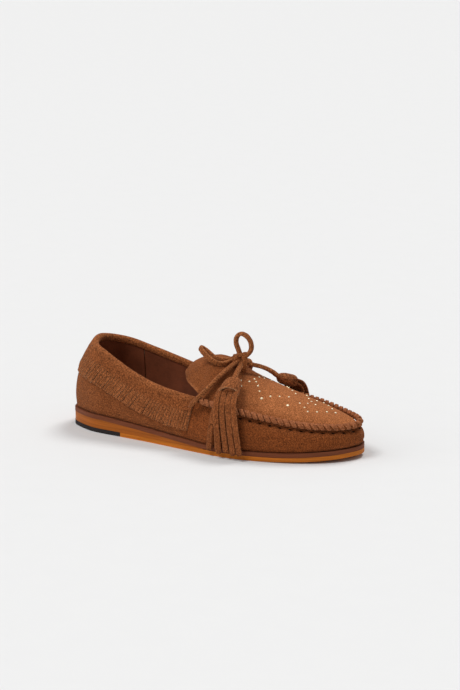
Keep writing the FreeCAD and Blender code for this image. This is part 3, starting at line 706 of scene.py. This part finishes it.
# Direction across each thong at its two ends.
THONG_WIDE = {
    "lateral_lace": [(1, 0, 0.4), (1, -0.3, 0.6)],
    "medial_lace": [(1, 0, 0.4), (1, 0.3, 0.6)],
    "upright_loop": [(0.2, 1, 0), (0.2, 1, 0.1)],
    "rear_loop": [(0.5, 0.2, 1), (0.3, 0.4, 1)],
    "lateral_drop": [(1, 0, 0.3), (1, 0, 0.2)],
    "medial_drop": [(0.6, -0.6, 0.3), (1, -0.2, 0.3)],
}
THONG_ROUGH = 0.13
KNOT_CENTRE = np.array((122.5, -1.0, 68.6))
KNOT_HALF = (2.15, 1.6)   # half the width and half the thickness of its strips
KNOT_ROUGH = 0.16
CAMERA_RIGHT = (0.867, 0.499, 0)
TO_CAMERA = np.array((0.499, -0.867, 0))


def smooth_route(points):
    """Points along the NURBS spline that has the route as its control points."""
    curve = bpy.data.curves.new("route", "CURVE")
    curve.dimensions = "3D"
    spline = curve.splines.new("NURBS")
    spline.points.add(len(points) - 1)
    for target, spot in zip(spline.points, points):
        target.co = (*[c * MM for c in spot], 1)
    spline.order_u = 3
    spline.use_endpoint_u = True
    spline.resolution_u = 12
    holder = new_object("route", curve)
    bpy.context.view_layer.update()
    mesh = bpy.data.meshes.new_from_object(holder)
    line = np.array([v.co for v in mesh.vertices])
    bpy.data.objects.remove(holder)
    bpy.data.curves.remove(curve)
    bpy.data.meshes.remove(mesh)
    return line / MM


def make_thong(name, seed):
    line = smooth_route(THONG_ROUTES[name])
    part = ribbon(line, THONG_HALF[0], THONG_HALF[1], THONG_WIDE[name], seed,
                  THONG_ROUGH)
    piece = joined("thong_" + name, [part], suede_thong)
    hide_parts(name)
    return piece, line


def arc_path(centre, radii, axis_a, axis_b, start, end, drift, count=26):
    """Part of an oval turn round a centre, moving along drift as it goes."""
    angles = np.radians(np.linspace(start, end, count))[:, None]
    a, b = unit(np.array(axis_a, float)), unit(np.array(axis_b, float))
    share = np.linspace(-0.5, 0.5, count)[:, None]
    return (centre + a * radii[0] * np.cos(angles) + b * radii[1] * np.sin(angles)
            + np.array(drift, float) * share)


def make_knot():
    """Bow knot: a band over the crossing, a turn beside it, one behind and a coiled core."""
    half, thick = KNOT_HALF
    right, near, up = CAMERA_RIGHT, TO_CAMERA, (0, 0, 1)
    across = np.array(right)
    over = arc_path(KNOT_CENTRE + near * 2.4 - across * 0.8 + (0, 0, -1.4), (4.7, 5.2), right,
                    up, 222, -25, near * -1.5)
    turn = arc_path(KNOT_CENTRE + across * 2.6 + (0, 0, -3.6), (4.9, 7.4), near, up,
                    105, -80, across * -1.2)
    behind = arc_path(KNOT_CENTRE - across * 3.6 + (0, 0, -2.4), (4.0, 4.6), near, up,
                      60, 300, across * 2.2)
    core = arc_path(KNOT_CENTRE + across * 0.4 + (0, 0, -2.6), (2.8, 4.4), near, up,
                    0, 600, across * 6.5, 60)
    strips = [(over, half, near), (turn, half, right), (behind, half, right),
              (core, half * 0.9, right)]
    parts = [ribbon(path, width, thick, [wide, wide], seed, KNOT_ROUGH)
             for seed, (path, width, wide) in enumerate(strips, 51)]
    settle(joined("bow_knot_wraps", parts, suede_thong), "shoe", "bow_knot")


# Bell of a tassel: distance down it and radius there.
CAP_PROFILE = [(0.0, 1.9), (1.0, 4.0), (2.6, 5.2), (4.5, 6.0), (8, 6.7), (12.0, 7.1), (16.0, 7.35)]
CAP_DEEP = 0.72
CAP_WALL = 1.3
CAP_ARCH = 1.4            # how much shorter the bell is in the middle of its face
CAP_PLEATS = 9
CAP_LAP = 0.35            # height of its lapped seam
STRAND_WIDTH = 4.2
STRAND_PITCH = 5.0
STRAND_THICK = 1.3
HANG_SPREAD = 1.26        # the visible strips hang a little further apart
ROOT_IN = 5.0             # the strips start this far inside the mouth
ROOT_PACKING = 0.95       # closer together there than where they hang
MOUTH_RUN = 8.0           # how strongly they leave along the bell
BEND_RUN = 0.3            # where they turn down: shares of the whole way to the foot
BEND_FALL = 0.12
TIP_STEP = 0.9            # every other tip is this much higher
STRAND_SHARES = np.linspace(0, 1, 44)[:, None]
# Each layer: distance outside the edge, height in the bell, height of the tips above the
# floor, and for each strip its place at the root and how much further out its foot is.
STRAND_LAYERS = [
    (4.6, 1.3, 3.4, [(-1.5, 0), (-0.5, 0), (0.5, 0), (1.5, 0)]),
    (2.4, -1.4, 4.2, [(-1.25, -2.5), (-0.5, -1.8), (0.3, -0.9), (1.1, 0)]),
]
# Side, the bell's top and mouth, the y of the edge the strips hang outside, how far they
# drift towards the toe, and how wide the bell is for its depth.
TASSELS = {
    "lateral": (-1, (128.5, -21.9, 58.2), (130.8, -35.6, 48.8), 44.5, 8.6, 1.22),
    "medial": (1, (144.6, 21.2, 51.6), (147.6, 36.2, 46.0), 42.8, 2.5, 0.95),
}


def tassel_axes(top, mouth, side):
    """Along the tassel, across it and up from its face."""
    axis = unit(np.array(mouth) - np.array(top))
    across = unit(np.array((1.0, 0, 0)) - axis * axis[0])
    return axis, across, np.cross(across, axis) * side


def make_cap(name, side, top, mouth, wide, seed):
    """Wrapped bell of suede: gathered crown, lapped seam, arched mouth."""
    axis, across, over = tassel_axes(top, mouth, side)
    lengths, radii = np.array(CAP_PROFILE).T
    steps = np.concatenate([np.linspace(0, 2, 6), np.linspace(2.6, lengths[-1], 26)])
    turns = np.linspace(0, 2 * np.pi, 97)
    t, a = np.meshgrid(steps, turns, indexing="ij")
    facing = np.clip(np.sin(a), 0, 1)
    reach = 1 - CAP_ARCH / lengths[-1] * facing ** 2 * (t / lengths[-1])
    radius = np.interp(t, lengths, radii)
    radius = radius * (1 + 0.05 * np.cos(CAP_PLEATS * a + 0.6) * np.exp(-t / 3.0))
    radius = radius + CAP_LAP * (ramp(a, 3.6, 3.75) - a / (2 * np.pi))

    def skin(size):
        return (np.array(top) + axis * (t * reach)[..., None]
                + across * (size * wide * np.cos(a))[..., None]
                + over * (size * CAP_DEEP * np.sin(a))[..., None])

    outer = skin(radius)
    away = unit(outer - np.array(top) - axis * lengths[-1] / 2)
    outer = outer + away * (lumps(outer, 4.0, seed) * 0.22)[..., None]
    inner = skin(np.maximum(radius - CAP_WALL, 0.4))
    worn = 0.3 + 0.4 * ramp(t, 14, 16) + 0.3 * np.exp(-t / 2.0)
    if side > 0:
        outer, inner = outer[::-1], inner[::-1]
        worn = worn[::-1]
    return suede_piece(f"{name}_tassel_bell", outer, inner, suede_tassel, f"{name}_tassel",
                       f"{name}_tassel_cap", worn=worn)


def make_strands(name, side, top, mouth, edge_y, drift, seed):
    """Two layers of cut suede strips that leave the bell and hang past the sole's edge."""
    axis, across, over = tassel_axes(top, mouth, side)
    rng = np.random.default_rng(seed)
    parts = []
    for clear, lift, floor, places in STRAND_LAYERS:
        for i, (start, splay) in enumerate(places):
            packed = start * STRAND_PITCH * ROOT_PACKING
            root = np.array(mouth) - axis * ROOT_IN + across * packed + over * lift
            foot = np.array((mouth[0] + drift + (start * HANG_SPREAD + splay) * STRAND_PITCH,
                             side * (edge_y + clear), floor + TIP_STEP * (i % 2)))
            foot = foot + np.array((rng.normal(0, 0.3), 0, abs(rng.normal(0, 0.6))))
            fall = foot - root
            bend = np.array((root[0] + BEND_RUN * fall[0], foot[1],
                             root[2] + BEND_FALL * fall[2]))
            line = bezier((root, root + axis * (MOUTH_RUN + ROOT_IN), bend, foot), STRAND_SHARES)
            line[:, 0] += lumps(line, 14.0, seed + i) * 0.25
            line[:, 1] += side * lumps(line, 18.0, seed + 9 + i) * 0.25
            twist = rng.normal(0, 0.12)
            wide = [(1, 0, 0), (1, twist, 0)]
            width = STRAND_WIDTH * rng.uniform(0.53, 0.56)
            parts.append(ribbon(line, width, STRAND_THICK / 2, wide, seed + 20 + i, 0.09,
                                ends=(0.96, 1.03), sides=16))
    piece = joined(f"{name}_tassel_strips", parts, suede_tassel)
    settle(piece, f"{name}_tassel", f"{name}_tassel_strands")


# Thongs that ride on the shoe: the end of the route where each leaves, and how it lies.
SHOE_THONGS = {"lateral_lace": (-1, "taut"), "medial_lace": (-1, "taut"),
               "upright_loop": (0, "loose"), "rear_loop": (0, "loose")}


def make_laces():
    pieces = {}
    for seed, name in enumerate(THONG_ROUTES):
        pieces[name] = make_thong(name, 11 * seed + 3)
    for name in SHOE_THONGS:
        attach(pieces[name][0], "shoe")
    make_knot()
    for name, (side, top, mouth, edge_y, drift, wide) in TASSELS.items():
        cap = make_cap(name, side, top, mouth, wide, 61 + side)
        make_strands(name, side, top, mouth, edge_y, drift, 71 + side)
        piece, line = pieces[name + "_drop"]
        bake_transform(piece)


# -------- wall of the upper
SIDE_SEAM_OUTER, SIDE_SEAM_INNER = 5.75, 20.25
HOLE_PITCH = 8.0
HOLE_DROP = 3.3           # punched holes below the top edge
HOLE_SIZE = (1.15, 0.8)   # along and across
HOLE_DEPTH = 1.2
PUCKER_DEPTH = 0.5
PUCKER_SIZE = (2.2, 3.2)
SWELL_HEIGHT = 0.35       # the wall swells out below the gathers
SWELL_DROP = 6.0
QUARTER_ROWS = np.linspace(0, 1, 44)
VAMP_ROWS = np.concatenate([np.linspace(0, 0.68, 34, endpoint=False), np.linspace(0.68, 1, 48)])


def wall_dents(u, v):
    """How far the wall's skin stands off its smooth shape: soft dents and stretch."""
    skin = wall_skin(u, v)
    settle_in = np.sin(np.pi * v) ** 0.5
    proud = (lumps(skin, 26, 3) * 0.4 + lumps(skin, 9, 4) * 0.16) * settle_in
    return proud + lumps(skin, 2.6, 5) * 0.07


def bell_curve(distance, width):
    return np.exp(-(distance / width) ** 2)


def make_vamp():
    u = even_positions(SIDE_SEAM_OUTER, SIDE_SEAM_INNER, 0.55)
    heights, falls = height_table(u)
    fall = np.array([np.interp(-VAMP_ROWS, -heights, row) for row in falls])
    uu, vv = np.meshgrid(u, VAMP_ROWS, indexing="ij")
    proud = wall_dents(uu, vv)
    gone = gone_along(top_at(u))
    count = int(gone[-1] / HOLE_PITCH)
    phase = (gone / gone[-1] * count)[:, None]
    in_seam = (ramp(u, place(6.3), place(6.8)) * ramp(-u, -place(19.7), -place(19.2)))[:, None]
    off_hole = (phase - np.floor(phase) - 0.5) * gone[-1] / count
    near = bell_curve(fall - HOLE_DROP, PUCKER_SIZE[1])
    proud = proud - PUCKER_DEPTH * bell_curve(off_hole, PUCKER_SIZE[0]) * near * in_seam
    proud = proud + SWELL_HEIGHT * bell_curve(fall - SWELL_DROP, 3.0) * in_seam
    from_hole = (off_hole / HOLE_SIZE[0]) ** 2 + ((fall - HOLE_DROP) / HOLE_SIZE[1]) ** 2
    hole = np.exp(-from_hole ** 1.5) * in_seam
    proud = proud - HOLE_DEPTH * hole
    # Painted shade in the punched holes and just under the roll, and a painted shadow along the
    # join with the sole.
    deep = np.clip(hole * 1.5, 0, 1) + 0.5 * np.exp(-fall / 1.2) * in_seam
    deep = np.clip(deep + 0.55 * np.exp(-vv / 0.02), 0, 1)
    # Paler band over the swell below the gathers.
    suede_piece("suede_vamp_painted_shade", wall(uu, vv, proud), wall(uu, vv, 0 * uu - SUEDE), suede_vamp_painted_shade,
                "shoe", "vamp", deep=deep, worn=0.25 * bell_curve(fall - 6.5, 2.5) * in_seam)


def make_quarter(name, first, last):
    u = even_positions(first, last, 0.9)
    uu, vv = np.meshgrid(u, QUARTER_ROWS, indexing="ij")
    # Painted shadow: darkened along the join with the sole.
    suede_piece("suede_" + name, wall(uu, vv, wall_dents(uu, vv)), wall(uu, vv, 0 * uu - SUEDE),
                suede_face, "shoe", name, deep=0.55 * np.exp(-vv / 0.02))


# -------- fringed collar
COLLAR_GAP = 0.3
COLLAR_SUEDE = 1.3
COLLAR_DEPTH = 25.5
COLLAR_EXTRA_BEHIND = 3.0
COLLAR_STACK = 2.6
COLLAR_TURN_IN = 2.4
COLLAR_ENDS = (THROAT_INNER - LAPS + 0.04, THROAT_OUTER - 0.02)
COLLAR_SLANT = 0.55       # how far the strip's two ends are cut back at the bottom
FRINGE_PITCH = 2.75
FRINGE_GAP = 0.3
FRINGE_FROM = 9.5         # uncut band below the fold
FRINGE_SLANT = 0.5        # how far a cut runs back for each millimetre down
FRINGE_LENGTH = 17.0      # about how long the cut strips are
WIDE_GAPS, WIDER = 4, 2.4
STRIP_COLUMNS = 3
ROWS_CUT, ROWS_BAND, FOLD_ROWS = 14, 8, 11


def make_collar():
    """Folded strip: turn-in, rolled fold, uncut band, then slanting cut strips."""
    rng = np.random.default_rng(5)
    edges = even_positions(*COLLAR_ENDS, FRINGE_PITCH)
    strips = len(edges) - 1
    width = np.diff(edges)
    gap = np.clip(rng.normal(FRINGE_GAP, 0.12, strips), 0.14, 0.7) / FRINGE_PITCH / 2
    gap[rng.integers(0, strips, WIDE_GAPS)] *= WIDER
    k = np.tile(np.arange(STRIP_COLUMNS + 1), strips)
    owner = np.repeat(np.arange(strips), STRIP_COLUMNS + 1)
    low, high = edges[:-1] + gap * width, edges[1:] - gap * width
    columns = low[owner] + (high - low)[owner] * k / STRIP_COLUMNS
    is_gap = k[:-1] == STRIP_COLUMNS
    long_way = np.mean(width) / FRINGE_PITCH
    x = sole_at(columns)[:, 0]
    depth = COLLAR_DEPTH + COLLAR_EXTRA_BEHIND * (1 - ramp(x, -30, 40))
    trim = np.clip(rng.normal(0, 0.3, strips), -0.8, 0.6)[owner]
    fall_end = depth - 0.4 + trim + rng.normal(0, 0.12, len(columns))
    middle = (columns[0] + columns[-1]) / 2
    side = (columns - middle) / (columns[-1] - middle)
    cut_back = COLLAR_SLANT * side ** 9
    lean = (-np.sign(side) * FRINGE_SLANT * long_way * ramp(np.abs(side), 0, 0.2)
            * (1 - np.abs(side) ** 6))
    wander = rng.normal(0, 0.012, strips)[owner] * long_way
    top = np.ones(len(columns))
    cut, band = [1 - np.arange(rows)[:, None] / rows for rows in (ROWS_CUT, ROWS_BAND)]
    falls = np.vstack([FRINGE_FROM + (fall_end - FRINGE_FROM) * cut, FRINGE_FROM * band * top])
    down = falls / depth
    hang = np.clip(falls - FRINGE_FROM, 0, None)
    u = columns - cut_back * down + (lean + wander) * hang
    v = np.array([height_below_top(line, fall) for line, fall in zip(u, falls)])
    flare = np.abs(rng.normal(0.1, 0.22, strips))[owner] * (hang / FRINGE_LENGTH) ** 1.4
    curl = rng.normal(0, 0.25, strips)[owner] * (hang / FRINGE_LENGTH)
    across = k / STRIP_COLUMNS - 0.5
    flat = wall_skin(u, v)
    soft = lumps(flat, 16, 8) * 0.35 + lumps(flat, 3, 9) * 0.09
    base = COLLAR_GAP + flare + curl * across * 2 + np.abs(soft)
    thick = COLLAR_SUEDE * (1 - 0.25 * (hang / FRINGE_LENGTH) ** 3)
    outer, inner = wall(u, v, base + thick), wall(u, v, np.maximum(base, 0.15))
    out, rising = wall_axes(columns, top)
    centre = wall_skin(columns, top) - out * COLLAR_STACK / 2
    swell = 1 + 0.03 * lumps(centre, 12, 21)
    fold_outer, fold_inner = [], []
    for angle in np.linspace(0, math.pi, FOLD_ROWS):
        for store, radius in ((fold_outer, COLLAR_STACK / 2 + COLLAR_GAP + COLLAR_SUEDE),
                              (fold_inner, COLLAR_STACK / 2 + COLLAR_GAP)):
            turn = out * math.cos(angle) + rising * math.sin(angle)
            store.append(centre + turn * (radius * swell)[:, None])
    turn_in = height_below_top(columns, COLLAR_TURN_IN * top)
    for step in (0.5, 1.0):
        v_in = 1 + (turn_in - 1) * step
        deep_in = 0 * v_in - COLLAR_STACK - COLLAR_GAP
        fold_outer.append(wall(columns, v_in, deep_in - COLLAR_SUEDE))
        fold_inner.append(wall(columns, v_in, deep_in))
    outer = np.concatenate([outer, fold_outer]).transpose(1, 0, 2)
    inner = np.concatenate([inner, fold_inner]).transpose(1, 0, 2)
    rows = outer.shape[1]
    keep = np.ones((len(columns) - 1, rows - 1), bool)
    keep[is_gap, :ROWS_CUT] = False
    worn = np.zeros((len(columns), rows))
    worn[:, :ROWS_CUT] = (0.18 + 0.5 * np.abs(across[:, None] * 2) ** 6
                          + 0.3 * (hang[:ROWS_CUT].T / FRINGE_LENGTH) ** 4)
    # The rolled fold and turn-in are paler: partly wear on the fold, partly a painted highlight
    # along it.
    worn[:, ROWS_CUT + ROWS_BAND:] = 0.35
    worn[:, ROWS_CUT + ROWS_BAND - 1] = 0.18
    suede_piece("fringed_collar", outer, inner, suede_fringe, "shoe", "fringe_collar", keep,
                worn=worn)


# -------- plug, tongue and seam
def plug_grid(rows, columns):
    """Top face of the plug and tongue, as in the CAD but with more points."""
    outer = [(x, -half, z) for x, half, z in TONGUE_EDGE]
    inner = [(x, half, z + TONGUE_TILT) for x, half, z in TONGUE_EDGE]
    span = TOE - PLUG_TIP - THROAT_OUTER - PLUG_SEAM_FROM
    for t in np.linspace(0, 1, 9):
        outer.append(top_at(place(THROAT_OUTER + PLUG_SEAM_FROM + t * span)) + UP * PLUG_LIFT)
        inner.append(top_at(place(THROAT_INNER - PLUG_SEAM_FROM - t * span)) + UP * PLUG_LIFT)
    outer, inner = np.array(outer, float), np.array(inner, float)
    gaps = (np.linalg.norm(np.diff(outer, axis=0), axis=1)
            + np.linalg.norm(np.diff(inner, axis=0), axis=1)) / 2
    knots = np.concatenate([[0], np.cumsum(gaps)])
    t = np.linspace(0, 1, rows)
    left = Spline(outer, knots)(t * knots[-1])[:, None]
    right = Spline(inner, knots)(t * knots[-1])[:, None]
    tip = top_at(place(TOE))
    tip_bow = tip[0] - (left[-1, 0, 0] + right[-1, 0, 0]) / 2
    bow = tip_bow * ramp(t, 0.75, 1.0) - TONGUE_BOW * (1 - ramp(t, 0.0, 0.18))
    middle = (left + right)[:, 0] / 2
    crown_xz = np.array(CROWN, float)
    crown = Spline(crown_xz[:, 1:], crown_xz[:, 0])(middle[:, 0] + bow)[:, 0]
    c = np.sin(np.linspace(-1, 1, columns) * np.pi / 2)[None, :]
    c = 0.5 * c + 0.5 * np.linspace(-1, 1, columns)[None, :]
    spots = left * ((1 - c) / 2)[..., None] + right * ((1 + c) / 2)[..., None]
    spots[..., 0] += bow[:, None] * (1 - c ** 2)
    arch = 1 - np.abs(c) ** PLUG_ARCH_POWER
    spots[..., 2] += (crown - middle[:, 2])[:, None] * arch
    return spots, np.broadcast_to(c, (rows, columns)), t


def grid_normals(grid):
    return unit(np.cross(np.gradient(grid, axis=0), np.gradient(grid, axis=1)))


def make_plug():
    grid, c, t = plug_grid(260, 121)
    normals = grid_normals(grid)
    edge = 1 - np.abs(c)
    seam = ramp(t, 0.17, 0.22)[:, None]
    run = gone_along(grid[:, 0])
    gather = np.cos(2 * np.pi * run / STITCH_PITCH)[:, None]
    proud = (lumps(grid, 30, 13) * 0.5 + lumps(grid, 11, 14) * 0.2) * np.clip(edge * 5, 0, 1)
    proud = proud + 0.16 * gather * np.exp(-edge / 0.09) * seam
    proud = proud + lumps(grid, 2.4, 15) * 0.08
    proud = proud - 0.4 * np.exp(-(edge / 0.05)) * seam
    rear = np.exp(-t / 0.012)[:, None]
    side = np.exp(-edge / 0.025) * (1 - seam)
    # Paler: wear on the tongue's cut edges at its back and sides, and a painted highlight over the
    # plug's top towards the toe.
    plug_painted_highlight = 0.8 * ramp(grid[..., 0], 112, 165) * (1 - 0.45 * ramp(-edge, -0.3, 0.0))
    worn = np.clip(1.4 * rear + 1.4 * side + plug_painted_highlight, 0, 1)
    # Painted shade along the plug's sewn edges, where it dips against the roll.
    deep = np.clip(0.55 * np.exp(-edge / 0.02) * seam, 0, 1)
    suede_piece("suede_plug_and_tongue", grid + normals * proud[..., None],
                grid - normals * PLUG_SUEDE, suede_plug, "shoe", "plug", deep=deep, worn=worn)


ROLL_RADIUS = 2.0
ROLL_SUEDE = 1.0
ROLL_STEP = 0.5
ROLL_FACE = (-75, 215)    # from its foot outside, over its top, to its foot on the plug
STITCH_PITCH = 5.0
WRAP_MIDDLE, WRAP_HALF = 58, 100  # a wrap goes this far round the roll on each side of there
WRAP_SLANT = -2.4         # how far each wrap leans from the roll's side to its top
ROLL_STATIONS = (THROAT_OUTER + 0.12, THROAT_INNER - 0.12)


def roll_centre(u):
    edge = top_at(u)
    away = ROLL_OUT + ROLL_OUT_STEEP * (1 - ramp(edge[..., 0], 120, 145))
    return edge + outward(u) * away[..., None] + UP * ROLL_LIFT


def roll_point(u, angle, radius):
    """angle 0 looks away from the shoe and 90 degrees looks up."""
    turn = np.radians(angle)
    return (roll_centre(u) + outward(u) * (radius * np.cos(turn))[..., None]
            + UP * (radius * np.sin(turn))[..., None])


def make_roll():
    """Rolled edge of the wall, pinched between the stitches."""
    u = even_positions(*ROLL_STATIONS, ROLL_STEP)
    gone = np.arange(len(u)) * ROLL_STEP
    angles = np.linspace(*ROLL_FACE, 19)
    uu, aa = np.meshgrid(u, angles, indexing="ij")
    swell = 0.2 * np.cos(2 * np.pi * (gone[:, None] / STITCH_PITCH + aa / 420))
    rough = lumps(roll_point(uu, aa, 0 * uu + ROLL_RADIUS), 1.6, 31) * 0.12
    skin = roll_point(uu, aa, ROLL_RADIUS - 0.1 + swell + rough)
    inner = roll_point(uu, aa, 0 * uu + ROLL_RADIUS - 0.1 - ROLL_SUEDE)
    # Painted shade: the roll is darkened, most where it is pinched between the stitches.
    suede_piece("seam_roll_suede", skin, inner, suede_face, "shoe", "seam_roll",
                deep=np.clip(0.35 - swell * 2.0, 0, 0.7))


def make_stitches():
    """Whip stitches: plump slanting wraps of suede cord over the roll."""
    u = even_positions(*ROLL_STATIONS, STITCH_PITCH)[1:-1]
    rng = np.random.default_rng(17)
    pace = (u[-1] - u[0]) / (len(u) - 1) / STITCH_PITCH
    parts = []
    for k, here in enumerate(u):
        share = np.linspace(-1, 1, 22)
        angles = WRAP_MIDDLE + WRAP_HALF * share
        lean = share * WRAP_SLANT * pace * rng.uniform(0.85, 1.15)
        lift = ROLL_RADIUS + 0.2 - 0.9 * np.abs(share) ** 5
        line = roll_point(here + lean, angles, lift + rng.normal(0, 0.04))
        along = unit(sole_at(here + 0.01) - sole_at(here - 0.01))
        parts.append(ribbon(line, rng.uniform(1.5, 1.65), 0.95, [along, along], 100 + k, 0.07,
                            sides=12))
    piece = joined("seam_stitch_wraps", parts, seam_cord)
    settle(piece, "shoe", "seam_stitches")


# -------- CAD pieces that stay
CAD_FINISH = {
    "outsole": outsole_edge, "heel_wedge": wedge_edge, "midsole": midsole_edge,
    "heel_top_piece": heel_rubber, "insole_board": fibre_board, "footbed_foam": latex_foam,
    "sock_lining": sock, "back_stay": suede_face, "heel_counter": stiffener,
    "toe_puff": stiffener, "heel_lining": lining, "lateral_lining": lining,
    "medial_lining": lining, "vamp_lining": lining_cloth, "topline_foam": latex_foam,
    "plug_lining": lining_cloth, "studs": stud_gold, "accent_studs": stud_gold,
    "lateral_tassel_core": suede_tassel, "medial_tassel_core": suede_tassel,
}


def finish_cad_nodes():
    for name, material in CAD_FINISH.items():
        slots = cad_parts[name].data.materials
        if len(slots):
            slots[0] = material
        else:
            slots.append(material)


make_camera()
make_studio()
make_laces()
make_vamp()
make_quarter("lateral_quarter", 0.01, SIDE_SEAM_OUTER)
make_quarter("medial_quarter", SIDE_SEAM_INNER, LAPS - 0.01)
make_collar()
make_plug()
make_roll()
make_stitches()
finish_cad_nodes()
